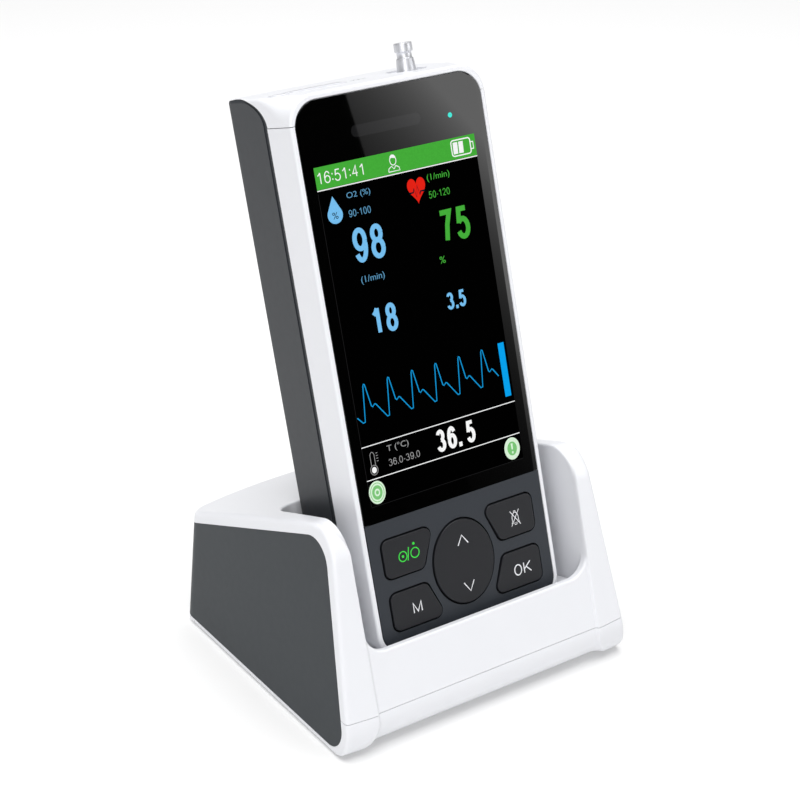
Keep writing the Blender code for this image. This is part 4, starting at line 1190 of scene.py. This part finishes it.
# Name, text, left, base, width and height (mm), stroke width (mm) and look
READINGS = (
    ("oxygen_range", "90-100", -19.5, 130.5, 7.4, 2.1, 0.21, "lit_soft_blue"),
    ("oxygen", "98", -19.8, 117.1, 10.6, 10.1, 1.45, "lit_blue"),
    ("pulse_range", "50-120", 8.2, 130.5, 7.4, 2.1, 0.21, "lit_green"),
    ("pulse", "75", 10.1, 116.6, 10.8, 9.8, 1.55, "lit_green"),
    ("breath", "18", -17.9, 95.5, 8.8, 8.4, 1.3, "lit_blue"),
    ("flow", "3.5", 8.6, 97.1, 6.8, 5.1, 0.85, "lit_blue"),
    ("heat_range", "36.0-39.0", -20.1, 57.0, 11.0, 2.1, 0.21, "lit_grey"),
    ("heat", "36. 5", -2.7, 56.3, 14.0, 6.8, 1.15, "lit_white"),
)
UNITS = (
    ("oxygen_unit", "O2 (%)", -19.3, 135.4, 8.0, 2.2, "lit_soft_blue"),
    ("pulse_unit", "(1/min)", 8.4, 135.2, 8.0, 2.4, "lit_green"),
    ("breath_unit", "(1/min)", -19.1, 110.8, 8.0, 2.5, "lit_soft_blue"),
    ("flow_unit", "%", 8.4, 111.1, 2.0, 2.1, "lit_green"),
    ("heat_unit", "T (°C)", -20.0, 60.9, 7.6, 2.4, "lit_grey"),
)


def readings(face):
    """The figures, their ranges and units, and the drop and heart beside them."""
    for name, *facts, look in READINGS:
        figures("screen_" + name, *facts, face, look)
    for name, *facts, look in UNITS:
        label("screen_" + name, *facts, face, look)
    patch("screen_drop", drop_outline(), face, "lit_blue")
    label("screen_drop_mark", "%", -24.9, 131.0, 1.9, 1.9, face - INK, "lit_ink")
    patch("screen_heart", heart_outline(), face, "lit_red")
    trace = [(1.6, 133.3), (3.0, 133.3), (3.4, 134.4), (4.0, 131.7), (4.6, 135.2), (5.2, 132.4)]
    trace += [(5.6, 133.3), (7.1, 133.3)]
    stroke("screen_heart_trace", [(trace, False)], 0.5, face - INK, "lit_ink")


def trace_and_level(face):
    """The pulse trace and the level bar beside it."""
    stroke("screen_trace", [(pulse_points(), False)], 0.36, face, "lit_wave")
    patch("screen_level", bar(24.1, 26.3, 66.7, 83.3), face, "lit_level")


def temperature_row(face):
    """The row between two rules, and its thermometer."""
    left, right, bottom, _ = SCREEN
    rules = [bar(left, right, base, base + 0.26) for base in (54.55, 64.55)]
    patch("screen_rules", rules, face, "lit_white")
    edge = [bar(left, right, bottom, bottom + 0.12), bar(left, left + 0.12, 47, 139)]
    patch("screen_edge_lines", edge, face, "lit_dim")
    stem = [(-26.0, 58.5), (-26.0, 61.9), (-25.7, 62.5), (-25.3, 62.7), (-24.9, 62.5)]
    stem += [(-24.6, 61.9), (-24.6, 58.5)]
    lines = [(stem, False), (oval((-25.3, 57.3), (1.25, 1.45)), True)]
    lines += [([(-24.0, z), (-23.4, z)], False) for z in (62.1, 61.3, 60.5, 59.7)]
    stroke("screen_thermometer", lines, 0.2, face, "lit_grey")
    patch("screen_thermometer_bulb", oval((-25.3, 57.3), (0.8, 0.95)), face, "lit_white")


def round_icons(face):
    """Two round buttons drawn on the screen: settings and notices."""
    settings, notice = (-25.6, 50.6), (23.6, 50.6)
    for name, centre in (("settings", settings), ("notice", notice)):
        patch(f"screen_{name}_disc", oval(centre, (2.86, 3.45)), face, "lit_pale")
        patch(f"screen_{name}_ring", oval(centre, (1.75, 2.15)), face - INK, "lit_mid")
    edge = [(oval(settings, (2.3, 2.8)), True)]
    stroke("screen_settings_edge", edge, 0.2, face - INK, "lit_mid")
    patch("screen_settings_core", oval(settings, (0.95, 1.15)), face - 2 * INK, "lit_pale")
    patch("screen_settings_dot", oval(settings, (0.5, 0.6)), face - 3 * INK, "lit_mid")
    mark = [[(23.35, 50.3), (23.85, 50.3), (23.95, 52.2), (23.25, 52.2)]]
    mark += [oval((23.6, 49.4), (0.32, 0.4), 16)]
    patch("screen_notice_mark", mark, face - 2 * INK, "lit_pale")


def screen_picture():
    """The lit picture, drawn in thin layers on a black panel."""
    patch("screen_panel", bar(*SCREEN), PANEL_FACE, "screen")
    face = PANEL_FACE - INK
    status_bar(face)
    readings(face)
    trace_and_level(face)
    temperature_row(face)
    round_icons(face)


# Upper end ---------------------------------------------------------------------------------


def hose_fitting():
    """Turned hose nipple: flared body, neck, bulbed head and a bore."""
    bore = [(0, 170.5), (1.2, 170.5), (1.2, 175.1)]
    head = [(1.5, 175.35), (2.3, 175.4), (2.62, 175.3), (2.75, 175.05), (2.75, 172.9)]
    head += [(2.65, 172.7), (2.32, 172.55), (2.25, 172.4)]
    flare = [(2.25, 171.0), (2.32, 170.85), (2.55, 170.7), (2.62, 170.5), (2.95, 166.9)]
    shank = [(2.95, 166.75), (2.0, 166.7), (2.0, 158.0), (0, 158.0)]
    points = [(radius * MM, height * MM) for radius, height in bore + head + flare + shank]
    nipple = turned("hose_fitting", points, NIPPLE_PLACE, MONITOR)
    finish_piece(nipple, "monitor", "plated_steel", "hose_nipple", sharp=30)


def rim(name, outer, inner, low, place, round_over):
    """A low white rim round a socket, a little proud of the cap."""
    top = top_at(place[1]) + 0.3 * MM
    piece = plate(name, [outer, inner], low, top, "Z", MONITOR)
    bevel(piece, round_over)
    finish_piece(piece, "monitor", "white_plastic")


def socket_detail():
    """The probe socket's contacts and rim, and the jack's rim."""
    x, y = SOCKET_PLACE
    for index in range(7):
        left = x + (index - 3) * 2.0 * MM
        low = (left - 0.35 * MM, y + 0.9 * MM, 158 * MM)
        high = (left + 0.35 * MM, y + 1.45 * MM, 164 * MM)
        contact = box(f"socket_contact_{index + 1}", low, high, MONITOR)
        bevel(contact, 0.1 * MM, 2, 40)
        finish_piece(contact, "monitor", "black_plastic", look="gold_plate")
    outer = centred_box(SOCKET_PLACE, 9.7 * MM, 3.7 * MM, 2.5 * MM)
    mouth = centred_box(*SOCKET_MOUTH)
    rim("socket_rim", outer, mouth, 165.9 * MM, SOCKET_PLACE, 0.25 * MM)
    outer, mouth = [ellipse(JACK_PLACE, (reach * MM, reach * MM)) for reach in (3.1, 1.95)]
    rim("jack_rim", outer, mouth, 166.7 * MM, JACK_PLACE, 0.2 * MM)


def top_mark():
    """A plain pulse line printed beside the socket."""
    pulse = [(-2.6, 15.6), (-1.2, 15.6), (-0.7, 16.6), (0.1, 14.8), (0.8, 16.9), (1.3, 15.6)]
    shape = wires("top_mark", [(pulse + [(2.8, 15.6)], False)], 0.4)
    for vert in shape.verts:
        across, back, rise = vert.co
        vert.co = (across * MM, back * MM, top_at(back * MM) + rise * 0.1 * MM)
    mark = place_mesh("top_mark", shape, MONITOR)
    finish_piece(mark, "monitor", "white_plastic", look="print_grey")


# Stage -------------------------------------------------------------------------------------


def make_camera():
    """Long lens looking down at the object from its left front."""
    data = bpy.data.cameras.new("camera")
    data.lens = LENS
    data.sensor_width = 36
    data.clip_start = 0.01
    data.clip_end = 50
    camera = bpy.data.objects.new("camera", data)
    camera.location = CAMERA_PLACE
    camera.rotation_euler = (math.radians(90 - CAMERA_DOWN), 0, math.radians(CAMERA_ROUND))
    bpy.context.scene.collection.objects.link(camera)
    bpy.context.scene.camera = camera


def make_floor():
    """A plain pale floor, wider than any view."""
    floor = box("floor", (-6, -6, -0.02), (6, 6, 0), DOCK)
    material, _, shader = new_material("floor")
    shade = (FLOOR_SHADE, FLOOR_SHADE, FLOOR_SHADE, 1)
    set_inputs(shader, Base_Color=shade, Roughness=0.9, Specular_IOR_Level=0.0)
    set_inputs(shader, Emission_Color=(1, 1, 1, 1), Emission_Strength=FLOOR_GLOW)
    floor.data.materials.append(material)


def make_world():
    """Even white surroundings."""
    world = bpy.data.worlds.new("surroundings")
    bpy.context.scene.world = world
    world.use_nodes = True
    shade = world.node_tree.nodes["Background"]
    set_inputs(shade, Color=(1, 1, 1, 1), Strength=WORLD_LEVEL)


def softbox(name, toward, size, strength):
    """A square lamp in one direction from the object."""
    data = bpy.data.lights.new(name, "AREA")
    data.shape = "SQUARE"
    data.size = size
    data.energy = strength * (math.pi * LAMP_DISTANCE) ** 2
    lamp = bpy.data.objects.new(name, data)
    lamp.location = Vector((0, 0, 0.08)) + Vector(toward).normalized() * LAMP_DISTANCE
    lamp.rotation_euler = Vector(toward).to_track_quat("Z", "Y").to_euler()
    bpy.context.scene.collection.objects.link(lamp)


def glass_mirror():
    """The reflection in the plane of the cover glass."""
    normal = (MONITOR.to_3x3() @ Vector((0, -1, 0))).normalized()
    point = MONITOR @ Vector((0, PANEL_FACE, 0.1))
    move = Matrix.Translation(point)
    flip = Matrix.Identity(3) - 2 * Matrix([normal * value for value in normal])
    return move @ flip.to_4x4() @ move.inverted()


def card(name, outline, distance, material):
    """A flat card that only shows in gloss, placed where the glass mirrors the camera's view."""
    sheet = plate(name, outline, -0.0005, 0.0005, "Z", DOCK)
    sheet.data.materials.append(material)
    camera = bpy.context.scene.camera
    bpy.context.view_layer.update()
    away = Matrix.Translation((0, 0, -distance))
    sheet.matrix_world = glass_mirror() @ camera.matrix_world @ away
    for ray in ("camera", "diffuse", "shadow", "transmission"):
        setattr(sheet, "visible_" + ray, False)


def math_node(tree, operation, first, second):
    """One step of arithmetic on a value or a link."""
    node = add_node(tree, "ShaderNodeMath")
    node.operation = operation
    for socket, value in zip(node.inputs, (first, second)):
        if isinstance(value, (int, float)):
            socket.default_value = value
        else:
            tree.links.new(value, socket)
    return node.outputs["Value"]


def reflected_cards():
    """A glowing card that fades down and to the left, before a black one."""
    black, _, shader = new_material("black_card")
    set_inputs(shader, Base_Color=(0, 0, 0, 1), Specular_IOR_Level=0.0)
    glow, tree, _ = new_material("graded_card")
    tree.nodes.clear()
    place = add_node(tree, "ShaderNodeTexCoord")
    split = add_node(tree, "ShaderNodeSeparateXYZ")
    tree.links.new(place.outputs["Object"], split.inputs["Vector"])
    level = CARD_LEVEL
    for axis, origin, growth in zip("XY", CARD_ORIGIN, (CARD_ACROSS, CARD_UP)):
        reach = math_node(tree, "SUBTRACT", split.outputs[axis], origin)
        level = math_node(tree, "ADD", math_node(tree, "MULTIPLY", reach, growth), level)
    level = math_node(tree, "EXPONENT", level, 0.0)
    level = math_node(tree, "MINIMUM", level, CARD_PEAK)
    emission = add_node(tree, "ShaderNodeEmission")
    end = add_node(tree, "ShaderNodeOutputMaterial")
    tree.links.new(level, emission.inputs["Strength"])
    tree.links.new(emission.outputs["Emission"], end.inputs["Surface"])
    slanted = [(-0.154, 0.6), (0.115, -0.25), (0.6, -0.25), (0.6, 0.6)]
    card("graded_card", slanted, CARD_DISTANCE, glow)
    card("black_card", bar(-0.5, 0.9, -0.6, 0.9), CARD_DISTANCE + 0.1, black)


def main():
    """Builds the pieces, then the camera, floor and lights."""
    dress_frame()
    dock_shells()
    front_bezel()
    end_cap()
    back_cover()
    screw_bosses()
    battery_hatch()
    cover_glass()
    status_light()
    keypad()
    key_marks()
    screen_picture()
    hose_fitting()
    socket_detail()
    top_mark()
    make_camera()
    make_floor()
    make_world()
    softbox("front_box", **FRONT_LAMP)
    softbox("top_box", **TOP_LAMP)
    reflected_cards()
    bpy.context.scene.view_settings.view_transform = "Standard"


main()
